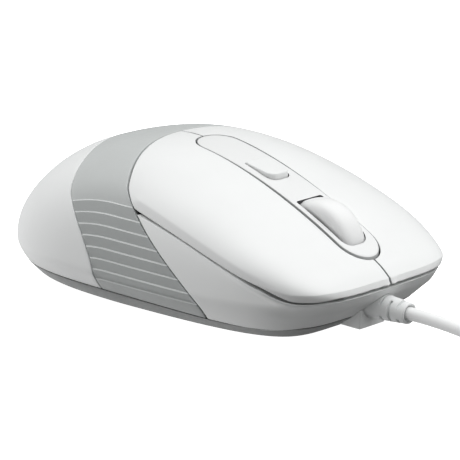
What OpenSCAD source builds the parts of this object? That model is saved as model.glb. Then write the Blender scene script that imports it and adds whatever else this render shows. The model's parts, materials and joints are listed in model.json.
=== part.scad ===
// Wired office mouse with a wrap-over grip band, two key plates, a centre
// console with a rate button and a scroll wheel, and a coiled cable.
// +Y points to the nose, +X to the user's right, +Z up. The origin is on the
// desk under the middle of the body. Millimetres.

/* [Overall size] */
// Length from tail to nose
body_length = 108; // [106:1:110]
// Widest width, across the grips
body_width = 64; // [63:1:66]
// Height of the line between the base and the upper shells
parting_z = 3.4; // [3:0.1:4]
// Thickness of the glide feet, which is also the height of the base above the desk
foot_t = 0.6; // [0.4:0.1:0.8]
// Wall of the upper shells
wall = 1.6; // [1.4:0.1:1.8]

/* [Key plates] */
// Gap under a key plate at the side
key_gap_side = 0.6; // [0.5:0.1:0.8]
// Gap under a key plate at the nose, which the click closes
key_gap_nose = 1; // [0.9:0.1:1.2]
// Gap between the two key plates
key_seam = 0.4; // [0.3:0.1:0.6]
// Hinge barrel's distance behind the middle of the body
hinge_back = 15; // [14.5:0.5:15.5]
// Height of the hinge barrel
hinge_z = 29.2; // [29:0.1:29.4]
// Radius of the hinge barrel
hinge_r = 1.2; // [1:0.1:1.3]

/* [Console] */
// Half width of the hole for the console
console_hole = 5.9; // [5.7:0.1:6.2]
// Gap around the console
console_gap = 0.55; // [0.45:0.05:0.7]
// Rear end of the console's hole
console_rear = -6.2; // [-7:0.1:-5.5]
// Front end of the console's hole
console_front = 47.6; // [47:0.1:48]
// How far the front of the console stands above the key plates
console_lift = 0.4; // [0.3:0.1:1]

/* [Wheel] */
// Radius of the scroll wheel
wheel_r = 10.9; // [10.6:0.1:11]
// Width of the tyre
wheel_w = 7.6; // [7:0.1:7.8]
// Wheel axle, forward of the middle of the body
wheel_y = 32.4; // [32.2:0.1:32.6]
// Wheel axle above the desk
wheel_z = 17.4; // [17.2:0.1:17.6]
// Radius of the axle
axle_r = 1.5; // [1.2:0.1:1.6]
// Radial clearance of every pin that turns
run_clear = 0.05; // [0.02:0.01:0.08]

/* [Rate button] */
// Half width of the rate button
rate_half = 3.3; // [3.2:0.1:3.7]
// Rear edge of the rate button
rate_rear = 11.1; // [10.8:0.1:11.4]
// Front edge of the rate button
rate_front = 19.6; // [19.3:0.1:20]

/* [Cable] */
// Diameter of the cord
cord_d = 3; // [2.8:0.1:3.2]
// Height of the cable exit
exit_z = 6.9; // [6.8:0.1:7]
// Tip of the strain relief
boot_tip = 58; // [57:0.5:58]

/* [Hidden] */
$fn = 48;

// ---- the outer skin -------------------------------------------------------
L2 = body_length / 2;
// plan outlines: widest station, tail, nose, half width, tail and nose powers, taper
EQ = [-16, L2, L2, body_width / 2, 2.4, 4.3, 0.04];
PART = [-13.3, L2 - 1.7, L2 - 9.8, body_width / 2 - 5.4, 3, 5.5, 0.03];
FOOT = [-10.5, L2 - 3.5, L2 - 14.5, body_width / 2 - 6.7, 2.7, 5.6, 0.16];
// control heights of the crown line, tail to nose
CROWN = [22.6, 32.2, 34.9, 45.6, 33.2, 31.4, 23.3, 13.3];
C7 = [1, 7, 21, 35, 35, 21, 7, 1];
// inner ends of the rays that span the skin
G0 = L2 - 8;

function clamp(x, a = 0, b = 1) = min(max(x, a), b);
function unit(v) = v / norm(v);
function planw(y, q) =
  let (u = clamp((q[0] - y) / (q[0] + q[1])), v = clamp((y - q[0]) / (q[2] - q[0])))
  y < q[0] ? q[3] * pow(1 - pow(u, q[4]), 1 / q[4])
           : q[3] * pow(1 - pow(v, q[5]), 1 / q[5]) * (1 - q[6] * pow(v, 1.5));
function lerp3(y, a, b, c) = let (t = (y + L2) / (2 * L2))
  a * (1 - t) * (1 - 2 * t) + 4 * b * t * (1 - t) + c * t * (2 * t - 1);
function bern(t, i = 0) = i > 7 ? 0 : C7[i] * pow(t, i) * pow(1 - t, 7 - i) * CROWN[i] + bern(t, i + 1);
function equator(y) = lerp3(y, 9.2, 9.6, 11.8);
function power(y) = lerp3(y, 2.1, 2.9, 3.9);
function crown(y) = let (e = equator(y), u = clamp((-30 - y) / (L2 - 30)), v = clamp((y - L2 + 5) / 5))
  e + (bern(clamp((y + L2) / (2 * L2))) - e) * pow(1 - pow(u, 2.2), 1 / 2.2) * pow(1 - pow(v, 2.2), 1 / 2.2);
function ztop(x, y) = let (e = equator(y), n = power(y), r = clamp(abs(x) / max(planw(y, EQ), 0.001)))
  e + (crown(y) - e) * pow(1 - pow(r, n), 1 / n);
// upper skin: ph runs round the outline from tail (-90) to nose (90), u from the spine (0) to the equator (1)
function up(ph, u) = let (g = pow(sin(90 * u), 0.69), sp = sin(ph) * 0.99999,
  y = sp * (G0 + (L2 - G0) * g), x = g * planw(L2 * sp, EQ)) [x, y, ztop(x, y)];
// lower skin: s runs from the equator (0) to the parting line (1)
function lo(ph, s) = let (sp = sin(ph) * 0.99999, ya = L2 * sp,
  yb = (PART[2] - PART[1]) / 2 + (PART[2] + PART[1]) / 2 * sp, w = clamp((ph - 25) / 40),
  q = pow(s, 1.5 - 0.5 * w))
  [planw(ya, EQ) * (1 - q) + planw(yb, PART) * q, ya * (1 - q) + yb * q, equator(ya) * (1 - s) + (parting_z + 0.1) * s];
function skin(ph, v) = v <= 1 ? up(ph, v) : lo(ph, v - 1);
function outline(ph) = let (y = L2 * sin(ph)) [planw(y, EQ), y];
function side_normal(ph) = let (p = clamp(ph, -89, 89), a = outline(p + 0.5) - outline(p - 0.5), n = unit([a[1], -a[0]]))
  ph >= 89.9 ? [0, 1, 0] : ph <= -89.9 ? [0, -1, 0] : [n[0], n[1], 0];
function top_normal(x, y) = let (h = 0.05, z = ztop(x, y), yb = y > 0 ? y - h : y + h)
  unit([-(z - ztop(abs(x) - h, y)) / h, -(z - ztop(x, yb)) / (y - yb), 1]);
function off_dir(ph, v) = let (p = up(ph, min(v, 0.985)), b = clamp((v - 0.88) / 0.1), h = side_normal(ph))
  v >= 0.98 ? h : unit(top_normal(p[0], p[1]) * (1 - b) + h * b);

// edges on the skin
function band_front(v) = v <= 1 ? -16.5 + 22.5 * v + 13.2 * pow(max(0, (v - 0.55) / 0.45), 1.4) : 19.2 + 12.2 * (v - 1);
function band_rear(v) = v <= 1 ? -41.5 + 31 * v + (v < 0.5 ? 1.9 : 0.9) * sin(360 * v) : -10.5 + 0.5 * (v - 1);
EDGE = 0.6;
COVER = 0.15;
function lip_z(ph) = let (w = clamp(1 - ph / 58)) 12.5 + 13.3 * pow(w, 1.3 - 0.45 * w);
function lip_gap(ph) = key_gap_side + (key_gap_nose - key_gap_side) * clamp(ph / 90);
function u_at(ph, z, a = 0.3, b = 1, n = 18) = n == 0 ? (a + b) / 2 :
  let (m = (a + b) / 2) up(ph, m)[2] > z ? u_at(ph, z, m, b, n - 1) : u_at(ph, z, a, m, n - 1);
function key_u(ph) = u_at(ph, lip_z(ph) + lip_gap(ph) / 2);
function frame_u(ph) = u_at(ph, lip_z(ph) - lip_gap(ph) / 2);
function key_corner(n = 6, ph = 1) = n == 0 ? ph : key_corner(n - 1, band_front(key_u(ph)) + EDGE);
function frame_corner(n = 6, ph = 1) = n == 0 ? ph : frame_corner(n - 1, band_front(frame_u(ph)) + EDGE);

// ---- closed shells from two matching grids --------------------------------
function flip3(f) = [for (t = f) [t[2], t[1], t[0]]];
function grid_faces(R, C) = [for (r = [0:R - 2], c = [0:C - 2]) let (a = r * C + c) each [[a, a + 1, a + C + 1], [a, a + C + 1, a + C]]];
function grid_loop(R, C) = concat([for (c = [0:C - 1]) c], [for (r = [1:R - 1]) r * C + C - 1],
  [for (c = [C - 2:-1:0]) (R - 1) * C + c], [for (r = [R - 2:-1:1]) r * C]);
function loop_walls(L, n) = [for (i = [0:len(L) - 1]) let (a = L[i], b = L[(i + 1) % len(L)]) each [[b, a, a + n], [b, a + n, b + n]]];
module shell(outer, inner, faces, loop, turn = false) {
  n = len(outer);
  f = concat(faces, [for (t = flip3(faces)) [t[0] + n, t[1] + n, t[2] + n]], loop_walls(loop, n));
  polyhedron(points = concat(outer, inner), faces = turn ? flip3(f) : f, convexity = 10);
}
function pt(ph, v, side, t) = let (p = skin(ph, v) - t * off_dir(ph, v)) [side * p[0], p[1], p[2]];
// ring of a plan outline, pulled in by ins
function ring(q, ins, z, n = 72) = let (p = [q[0], q[1] - ins, q[2] - ins, q[3] - ins, q[4], q[5], q[6]])
  [for (i = [0:n - 1]) let (a = 360 * i / n - 90, y = (p[2] - p[1]) / 2 + (p[2] + p[1]) / 2 * sin(a) * 0.9999)
    [(cos(a) < 0 ? -1 : 1) * (abs(cos(a)) < 0.001 ? 0 : planw(y, p)), y, z]];
module loft(a, b) {
  n = len(a);
  polyhedron(points = concat(a, b), faces = concat([[for (i = [0:n - 1]) i]], [[for (i = [n - 1:-1:0]) n + i]],
    [for (i = [0:n - 1]) let (j = (i + 1) % n) each [[i, n + i, n + j], [i, n + j, j]]]));
}
// round bar along X
module bar_x(r, x0, x1, y, z) translate([x0, y, z]) rotate([0, 90, 0]) cylinder(r = r, h = x1 - x0);
// flat plate in the YZ plane, from x0 to x1
module plate_x(x0, x1, pts) translate([x0, 0, 0]) rotate([90, 0, 90]) linear_extrude(x1 - x0) polygon(pts);
module box(x0, x1, y0, y1, z0, z1) translate([x0, y0, z0]) cube([x1 - x0, y1 - y0, z1 - z0]);
// upright eight-sided tube along a route
function tube_ring(p, d, r) = let (s = unit(cross(d, [0, 0, 1])), u = cross(s, d))
  [for (k = [0:7]) p + r * (cos(45 * k + 22.5) * s + sin(45 * k + 22.5) * u)];
module tube(route, r) {
  m = len(route);
  rings = [for (i = [0:m - 1]) tube_ring(route[i], unit(route[min(i + 1, m - 1)] - route[max(i - 1, 0)]), r)];
  polyhedron(points = [for (q = rings) for (p = q) p], faces = concat([[for (k = [7:-1:0]) k]], [[for (k = [0:7]) (m - 1) * 8 + k]],
    [for (i = [0:m - 2], k = [0:7]) let (a = i * 8 + k, b = i * 8 + (k + 1) % 8) each [[a, b, b + 8], [a, b + 8, a + 8]]]));
}

// ---- cable route ----------------------------------------------------------
RUN = [[0, boot_tip, exit_z], [0, 63, 6.9], [0, 68, 6.7], [0, 73, 6.3], [0, 79, 5.6], [0, 85, 4.8], [0, 91, 3.9], [0, 97, 3.1], [0, 103, 2.55], [0, 108, 2.4]];
COIL = [-22, 108];
COIL_IN = 10.4;
COIL_OUT = 23.6;
COIL_LOW = 0.8;
COIL_TOP = 13;
TAIL = [[-44, 108, 11.4], [-44, 104, 10.6], [-44, 100, 8.8], [-44, 96, 6.6], [-44, 92, 4.7], [-44, 89.6, 4.1], [-44, 88, 4]];
LEADS = [[0, 42, 6.9], [0, 41, 6.9], [-0.6, 39.4, 6.2], [-2.6, 37.8, 5.2], [-6, 37.2, 4.8], [-9.4, 37.8, 5.2], [-11.8, 38.2, 6.8], [-12.6, 37.4, 9.2], [-12.6, 35.4, 10.4], [-12.6, 34, 10.4], [-12.6, 33, 10.4]];

// ---- casing ---------------------------------------------------------------
POSTS = [[-18, -15], [18, -15], [-18, 12], [18, 12]];
LEGS = [[-16.8, -23.2], [16.8, -23.2]];

module bottom_case() color([0.5, 0.52, 0.52]) difference() {
  union() {
    difference() {
      loft(ring(FOOT, 0, foot_t), ring(PART, 0, parting_z - 0.1));
      loft(ring(FOOT, 2.2, foot_t + 1.8), ring(PART, 2.2, parting_z + 1));
    }
    // block that the cable leaves through
    box(-4.3, 4.3, 39.6, 47.4, 1.7, 5.3);
    // board posts
    for (p = POSTS) translate([p[0], p[1], foot_t + 1.2]) cylinder(r = 2.3, h = 6 - foot_t - 1.2);
    // wheel cradle bearings
    for (s = [-1, 1]) box(s < 0 ? -9.6 : 7, s < 0 ? -7 : 9.6, 16.6, 21.4, foot_t + 1.2, 15);
  }
  for (p = POSTS) translate([p[0], p[1], 3]) cylinder(r = 0.8, h = 4);
  for (p = LEGS) translate([p[0], p[1], 0]) { cylinder(r = 1.25, h = 4); cylinder(r = 2.5, h = foot_t + 0.9); }
  bar_x(1.2 + run_clear, -12, 12, 19, 12.5);
  // sensor window
  box(-4, 4, -8.5, 0.5, 0, 4);
  // seat of the strain relief
  translate([0, 45, exit_z]) rotate([-90, 0, 0]) cylinder(r = 3.4, h = 6);
  translate([0, 43, exit_z]) rotate([-90, 0, 0]) cylinder(r = 2.75, h = 3);
  translate([0, 38, exit_z]) rotate([-90, 0, 0]) cylinder(r = 3.7, h = 5.4);
}

FK = 16;
function frame_cell(i, k, side, t) =
  let (w = pow(i / FK, 0.9), c0 = frame_corner(), pt0 = c0 + (90 - c0) * w, vt = frame_u(pt0), v0 = frame_u(c0),
    f = k <= 4 ? 1 - pow(1 - k / 4, 2) : (k - 4) / 5,
    v = k <= 4 ? vt + (1 - vt) * f : 1 + f, vb = k <= 4 ? v0 + (1 - v0) * f : 1 + f,
    ph = pt0 + (band_front(vb) + EDGE - c0) * (1 - w), p = skin(ph, v), n = side_normal(ph))
  [side * (p[0] - t * n[0]), p[1] - t * n[1], p[2]];
module side_frame() color([0.93, 0.94, 0.94]) difference() {
  C = 2 * FK + 1;
  cols = [for (k = [0:9]) for (j = [-FK:FK]) [FK - abs(j), k, j < 0 ? -1 : 1]];
  shell([for (q = cols) frame_cell(q[0], q[1], q[2], 0)],
    [for (q = cols) frame_cell(q[0], q[1], q[2], q[1] <= 4 ? wall : wall + 0.15 * (q[1] - 4))],
    grid_faces(10, C), grid_loop(10, C), true);
  translate([0, 37, exit_z]) rotate([-90, 0, 0]) cylinder(r = 3.5, h = 20);
  translate([0, 37, exit_z]) rotate([-90, 0, 0]) cylinder(r = 3.8, h = 7.5);
  box(-4.5, 4.5, 36, 52, 2, 5.5);
}

BV = [0, 0.05, 0.12, 0.22, 0.34, 0.46, 0.57, 0.67, 0.76, 0.84, 0.91, 0.955, 0.982, 0.995, 1, 1.2, 1.4, 1.6, 1.8, 2];
BM = len(BV) - 1;
module grip_band() color([0.72, 0.74, 0.74]) {
  R = 7;
  C = 2 * BM + 1;
  g = [for (r = [0:R - 1]) for (j = [-BM:BM]) let (v = BV[abs(j)], a = band_rear(v) + COVER, b = band_front(v))
    [a + (b - a) * r / (R - 1), v, j < 0 ? -1 : 1]];
  shell([for (q = g) pt(q[0], q[1], q[2], 0)], [for (q = g) pt(q[0], q[1], q[2], wall + 0.2)],
    grid_faces(R, C), grid_loop(R, C), true);
}

module rear_cover() color([0.93, 0.94, 0.94]) {
  R = 13;
  C = 2 * BM + 1;
  e = (R - 1) * C;
  g = [for (r = [0:R - 1]) for (j = [-BM:BM]) let (v = BV[abs(j)], a = band_rear(v) - COVER)
    [a + (-88.5 - a) * r / (R - 1), v, j < 0 ? -1 : 1]];
  zip = [for (j = [1:BM]) each (j == 1 ? [[e + BM, e + BM + 1, e + BM - 1]] :
    [[e + BM + j - 1, e + BM + j, e + BM - j], [e + BM + j - 1, e + BM - j, e + BM - j + 1]])];
  loop = concat([for (c = [0:C - 1]) c], [for (r = [1:R - 1]) r * C + C - 1], [for (r = [R - 1:-1:1]) r * C]);
  shell([for (q = g) pt(q[0], q[1], q[2], 0)], [for (q = g) pt(q[0], q[1], q[2], wall + 0.2)],
    concat(grid_faces(R, C), zip), loop);
}

// one key plate: lines from the console side to the outer edge
function steps(n, a, b) = [for (i = [1:n]) a + (b - a) * i / n];
function key_edges() = let (sx = key_seam / 2, h = console_hole, a0 = asin(sx / h), c = key_corner(),
  uc = key_u(c), r0 = console_rear, f0 = console_front,
  lip = function(ph) let (p = up(ph, key_u(ph))) [max(p[0], sx), p[1], 1, ph],
  rim = function(u) let (p = up(band_front(u) + EDGE, u)) [max(p[0], sx), p[1], 0, 0])
  concat(
    [[[sx, r0 - 3.6], rim(0)]],
    [for (t = steps(2, 0, 1)) [[sx, r0 - 3.6 * (1 - t)], rim(0.09 * t)]],
    [for (t = steps(7, 0, 1)) let (a = a0 + (90 - a0) * t) [[h * sin(a), r0 + h - h * cos(a)], t == 1 ? lip(c) : rim(0.09 + (uc - 0.09) * t)]],
    [for (t = steps(13, 0, 1)) [[h, r0 + h + (f0 - r0 - 2 * h) * t], lip(c + (54 - c) * t)]],
    [for (t = steps(7, 0, 1)) let (a = 90 + (90 - a0) * t) [[h * sin(a), f0 - h - h * cos(a)], lip(54 + 32 * t)]],
    [for (t = steps(2, 0, 1)) [[sx, f0 + 2 * t], lip(86 + 4 * t)]]);
KT = [0, 0.14, 0.3, 0.47, 0.63, 0.77, 0.88, 0.95, 1];
module key_plate() {
  e = key_edges();
  C = len(KT);
  // the wall is upright at the console hole and never hangs below the lip
  g = [for (q = e) for (t = KT) let (x = q[0][0] + (q[1][0] - q[0][0]) * t, y = q[0][1] + (q[1][1] - q[0][1]) * t, b = clamp(t / 0.4),
      n = t == 1 && q[1][2] == 1 ? side_normal(q[1][3]) : unit(top_normal(x, y) * b + [0, 0, 1 - b]))
    [[x, y, ztop(x, y)], [x < key_seam ? 0 : n[0], n[1], n[2]], q[1][2] == 1 ? ztop(q[1][0], q[1][1]) : 0]];
  shell([for (q = g) q[0]], [for (q = g) let (p = q[0] - wall * q[1]) [p[0], p[1], max(p[2], q[2])]],
    grid_faces(len(e), C), grid_loop(len(e), C), true);
}
module right_button() color([0.95, 0.96, 0.96]) key_plate();
module left_button() color([0.95, 0.96, 0.96]) mirror([1, 0, 0]) key_plate();

// lever under a key plate: hinge barrel, arm, switch post and two bosses into the plate
module key_lever() {
  bar_x(hinge_r, 6.5, 17.2, -hinge_back, hinge_z);
  plate_x(10.8, 14.2, [[-hinge_back, hinge_z - 1], [-hinge_back, hinge_z + 1], [-6, 31], [0, 31], [20, 27], [33.2, 21.4], [33.2, 19.2], [20, 24.7], [0, 28.8], [-6, 28.8]]);
  box(10.8, 19.6, 29.2, 33.2, 19.4, 21);
  translate([18.3, 31, 14.9]) cylinder(r = 1.5, h = 5);
  for (y = [2, 24]) translate([12, y, ztop(12, y) - 5]) cylinder(r = 1.9, h = 3.8);
}
module right_button_lever() color([0.2, 0.2, 0.21]) key_lever();
module left_button_lever() color([0.2, 0.2, 0.21]) mirror([1, 0, 0]) key_lever();

function lift(y) = let (t = clamp((y - 2) / 34)) console_lift * t * t * (3 - 2 * t);
module center_console() color([0.95, 0.96, 0.96]) difference() {
  h = console_hole - console_gap;
  y0 = console_rear + console_gap + h;
  y1 = console_front - console_gap - h;
  st = concat([for (a = [-80, -66, -50, -34, -17]) [h * cos(a), y0 + h * sin(a)]],
    [for (i = [0:14]) [h, y0 + (y1 - y0) * i / 14]], [for (a = [17, 34, 50, 66, 80]) [h * cos(a), y1 + h * sin(a)]]);
  xs = [-1, -0.93, -0.7, -0.35, 0, 0.35, 0.7, 0.93, 1];
  top = [for (q = st) for (x = xs) [x * q[0], q[1], ztop(x * q[0], q[1]) + lift(q[1]) - (abs(x) == 1 ? 0.35 : abs(x) > 0.9 ? 0.08 : 0)]];
  shell(top, [for (p = top) [p[0], p[1], ztop(p[0], p[1]) + lift(p[1]) - 2]], grid_faces(len(st), len(xs)), grid_loop(len(st), len(xs)), true);
  box(-rate_half - 0.25, rate_half + 0.25, rate_rear - 0.25, rate_front + 0.25, 20, 45);
  bar_x(wheel_r + 0.5, -4.3, 4.3, wheel_y, wheel_z);
}

module inner_chassis() color([0.25, 0.26, 0.27]) difference() {
  union() {
    box(-18.5, 18.5, -26.4, -12, 24.4, 26.6);
    for (p = LEGS) translate([p[0], p[1], foot_t + 1.8]) cylinder(r = 2.6, h = 22.4);
    for (s = [-1, 1]) for (x = [7, 14.6]) box(s < 0 ? -x - 2.2 : x, s < 0 ? -x : x + 2.2, -hinge_back - 2.1, -hinge_back + 2.1, 26, hinge_z + 1.9);
    plate_x(-4.4, 4.4, [[-12.5, 24.4], [-12.5, 26.6], [-8, 31.6], [2, 31.2], [8.6, 29.6], [8.6, 26.2], [21, 26.2], [21, 24.2], [7, 24.2], [0, 28.4], [-8, 28], [-10, 24.4]]);
    // bosses under the console
    for (y = [-1, 5]) translate([0, y, 29]) cylinder(r = 2, h = ztop(0, y) + lift(y) - 2 - 29);
  }
  for (s = [-1, 1]) bar_x(hinge_r + run_clear, s < 0 ? -24 : 5, s < 0 ? -5 : 24, -hinge_back, hinge_z);
  for (p = LEGS) translate([p[0], p[1], 0]) cylinder(r = 1, h = 14);
}

// ---- rate button and its switch -------------------------------------------
module rate_button() color([0.8, 0.82, 0.82]) {
  ys = [rate_rear, rate_rear + 2.4, rate_rear + 4.8, rate_rear + 7.2, rate_front - 0.8, rate_front];
  hw = [rate_half, rate_half, rate_half, rate_half, rate_half, rate_half - 0.8];
  rise = function(y) let (t = (y - rate_rear) / (rate_front - rate_rear)) lift(y) + 0.05 + 1.3 * pow(t, 1.2);
  xs = [-1, -0.85, 0, 0.85, 1];
  top = [for (i = [0:5]) for (x = xs) [x * hw[i], ys[i], ztop(0, ys[i]) + rise(ys[i]) - (abs(x) == 1 ? 0.3 : 0) - (i == 5 ? 0.35 : 0)]];
  shell(top, [for (p = top) [p[0], p[1], 30.05]], grid_faces(6, 5), grid_loop(6, 5), true);
}
module rate_board() color([0.1, 0.35, 0.2]) box(-4.2, 4.2, 9.4, 20.6, 26.2, 27);
module rate_switch_body() color([0.15, 0.15, 0.16]) difference() {
  box(-2.3, 2.3, 12.9, 17.5, 27, 29.2);
  translate([0, 15.2, 28]) cylinder(r = 1.1 + run_clear, h = 2);
}
module rate_switch_plunger() color([0.9, 0.9, 0.88]) translate([0, 15.2, 28.6]) cylinder(r = 1.1, h = 1.3);

// ---- scroll wheel ---------------------------------------------------------
module about_axle() translate([0, wheel_y, wheel_z]) rotate([0, 90, 0]) children();
module wheel_tyre() color([0.9, 0.91, 0.91]) about_axle() rotate_extrude($fn = 96) {
  w = wheel_w / 2;
  polygon(concat([[8.6, -3.02], [6.8, -3.02], [6.8, -w + 0.2], [7, -w]], [for (i = [-10:10]) let (q = abs(i) / 10) [wheel_r - 3 * (1 - pow(1 - pow(q, 2.4), 1 / 2.4)), w * i / 10]], [[7, w], [6.8, w - 0.2], [6.8, 3.02], [8.6, 3.02]]));
}
module wheel_hub() color([0.3, 0.31, 0.32]) about_axle() union() {
  difference() {
    translate([0, 0, -3]) cylinder(r = 8.6, h = 6);
    for (a = [0:60:300]) rotate(a) translate([5.2, 0, -4]) cylinder(r = 1.5, h = 8);
  }
  translate([0, 0, -10]) cylinder(r = axle_r, h = 17);
}
CR = [[17, 10.6], [20.6, 10], [29, 10.8], [35, 12.2], [36.2, 16], [35.2, 19.4], [30, 19.4], [20.6, 14.6], [17, 14.6]];
module wheel_cradle() color([0.85, 0.86, 0.84]) difference() {
  union() {
    plate_x(4.8, 6.4, CR);
    plate_x(-6.4, -4.8, CR);
    box(-6.4, 6.4, 17, 20.6, 10.6, 12.6);
    bar_x(1.2, -9.4, -5, 19, 12.5);
    bar_x(1.2, 5, 9.4, 19, 12.5);
    // ear over the middle switch
    box(5, 14, 30.6, 33.8, 11.8, 13.2);
    // seats of the rotary encoder
    box(-8.6, -5, 29, 35.4, 11.5, 12.4);
  }
  bar_x(axle_r + run_clear, -12, 12, wheel_y, wheel_z);
}
module encoder_body() color([0.2, 0.45, 0.3]) difference() {
  box(-10.2, -6.4, 28.8, 35.6, 12.4, 19.2);
  bar_x(axle_r + 0.75 + run_clear, -11, -6, wheel_y, wheel_z);
}
module encoder_rotor() color([0.9, 0.9, 0.88]) difference() {
  bar_x(axle_r + 0.75, -10, -6.7, wheel_y, wheel_z);
  bar_x(axle_r, -11, -6, wheel_y, wheel_z);
}

// ---- switches and board ---------------------------------------------------
BT = 7.6;
module middle_switch_body() color([0.12, 0.12, 0.13]) difference() {
  box(10.3, 14.7, 30, 34.4, BT, 10.8);
  translate([12.5, 32.2, 9.6]) cylinder(r = 1.2 + run_clear, h = 3);
}
module middle_switch_plunger() color([0.85, 0.3, 0.2]) translate([12.5, 32.2, 10.3]) cylinder(r = 1.2, h = 1.4);
module micro_switch() difference() {
  box(15.4, 21.2, 22.5, 35.3, BT, 14.1);
  translate([18.3, 31, 12.8]) cylinder(r = 1 + run_clear, h = 3);
  for (y = [25.6, 32.2]) bar_x(1, 15, 22, y, 9.2);
}
module right_switch_body() color([0.1, 0.1, 0.11]) micro_switch();
module left_switch_body() color([0.1, 0.1, 0.11]) mirror([1, 0, 0]) micro_switch();
module micro_plunger() translate([18.3, 31, 13.4]) cylinder(r = 1, h = 1.4);
module right_switch_plunger() color([0.9, 0.9, 0.88]) micro_plunger();
module left_switch_plunger() color([0.9, 0.9, 0.88]) mirror([1, 0, 0]) micro_plunger();
module circuit_board() color([0.1, 0.35, 0.2]) difference() {
  translate([0, 0, 6]) linear_extrude(1.6) polygon([[-22, -19], [22, -19], [22, 30], [18.5, 36], [10, 36], [10, 15.5], [-10, 15.5], [-10, 36], [-18.5, 36], [-22, 30]]);
  for (p = POSTS) translate([p[0], p[1], 5]) cylinder(r = 1.1, h = 4);
  box(-4.4, 4.4, -8.8, 0.8, 5, 9);
}
module optical_sensor() color([0.08, 0.08, 0.09]) difference() {
  box(-5, 5, -10, 2, BT, 10.6);
  translate([0, -4, BT - 1]) cylinder(r = 1, h = 2);
}
module sensor_lens() color([0.8, 0.85, 0.88, 0.6]) union() {
  difference() {
    box(-8, 8, -11, 9, foot_t + 1.8, foot_t + 3.2);
    box(-3.4, 3.4, -8, 0, 0, 10);
  }
  translate([0, -4, foot_t + 1.2]) cylinder(r = 3.2, h = 4);
  box(-3.6, 3.6, -6, -2, foot_t + 1.8, foot_t + 3.2);
}
module illumination_led() color([0.8, 0.25, 0.2]) union() {
  translate([0, 4, 10.6]) rotate([-90, 0, 0]) cylinder(r = 2.45, h = 7);
  translate([0, 11, 10.6]) rotate([-90, 0, 0]) cylinder(r = 2.9, h = 1);
}
module led_clip() color([0.12, 0.12, 0.13]) difference() {
  box(-3.7, 3.7, 4.4, 10, BT, 13.6);
  translate([0, 3, 10.6]) rotate([-90, 0, 0]) cylinder(r = 2.5, h = 9);
}
module microcontroller() color([0.08, 0.08, 0.09]) {
  box(-18, -8, -6, -1, BT + 0.2, BT + 1.8);
  for (i = [0:7]) for (y = [-7, -1]) box(-17.4 + 1.25 * i, -16.9 + 1.25 * i, y, y + 1, BT, BT + 0.8);
}
module capacitors() color([0.15, 0.18, 0.3]) for (x = [10.5, 15.5]) translate([x, 3, BT]) cylinder(r = 2, h = 6.2);
module cable_header() color([0.92, 0.92, 0.9]) box(-14.8, -10.6, 23.4, 29.6, BT, 12.4);
module cable_plug() color([0.85, 0.85, 0.82]) box(-14.6, -10.8, 29.6, 33, BT + 1, 12.2);
module cable_leads() color([0.7, 0.2, 0.18]) tube(LEADS, 1.1);

// ---- cable ----------------------------------------------------------------
module strain_relief() color([0.8, 0.82, 0.82]) translate([0, 0, exit_z]) rotate([-90, 0, 0]) difference() {
  rotate_extrude() polygon([[0, 42], [3.5, 42], [3.5, 43.2], [2.6, 43.3], [2.6, 45.1], [3.2, 45.4], [3.1, 48], [2.5, boot_tip - 1], [2.4, boot_tip], [0, boot_tip]]);
  // open slots that let the boot bend
  for (i = [0:2]) for (s = [-1, 1]) rotate(i % 2 == 0 ? 0 : 90) translate([s * 2.9 - 0.9, -3, 51.4 + 2.35 * i]) cube([1.8, 6, 0.7]);
}
module cord_run() color([0.9, 0.9, 0.9]) tube(RUN, cord_d / 2);
module cord_coil() color([0.9, 0.9, 0.9]) translate([COIL[0], COIL[1], 0]) rotate_extrude($fn = 96)
  polygon([[COIL_IN + 1, COIL_LOW], [COIL_OUT - 1, COIL_LOW], [COIL_OUT, COIL_LOW + 1], [COIL_OUT, COIL_TOP - 1], [COIL_OUT - 1, COIL_TOP], [COIL_IN + 1, COIL_TOP], [COIL_IN, COIL_TOP - 1], [COIL_IN, COIL_LOW + 1]]);
module cord_tail() color([0.9, 0.9, 0.9]) tube(TAIL, cord_d / 2);
module cord_tie() color([0.15, 0.15, 0.16]) translate([COIL[0], COIL[1], 0]) difference() {
  box(-3.5, 3.5, COIL_IN - 1.6, COIL_OUT + 0.9, 0, COIL_TOP + 0.8);
  box(-4, 4, COIL_IN - 0.9, COIL_OUT + 0.2, COIL_LOW - 0.1, COIL_TOP + 0.1);
}
PX = -44;
module usb_plug_body() color([0.9, 0.9, 0.9]) union() {
  translate([PX, 0, 4]) rotate([-90, 0, 0]) rotate_extrude() polygon([[0, 80], [3.4, 80], [2.2, 87.4], [2, 88], [0, 88]]);
  box(PX - 8, PX + 8, 59, 80.5, 0.8, 7.2);
  box(PX - 7.2, PX + 7.2, 58, 81.4, 0, 8);
}
module usb_plug_shell() color([0.75, 0.76, 0.78]) difference() {
  box(PX - 6, PX + 6, 46, 58, 1.75, 6.25);
  box(PX - 5.7, PX + 5.7, 45, 57.6, 2.05, 5.95);
  for (s = [-1, 1]) box(PX + s * 2.6 - 1.1, PX + s * 2.6 + 1.1, 49.4, 51.6, 5, 7);
}
module usb_plug_tongue() color([0.95, 0.95, 0.95]) box(PX - 5.6, PX + 5.6, 47, 57.6, 2.1, 4);

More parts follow.
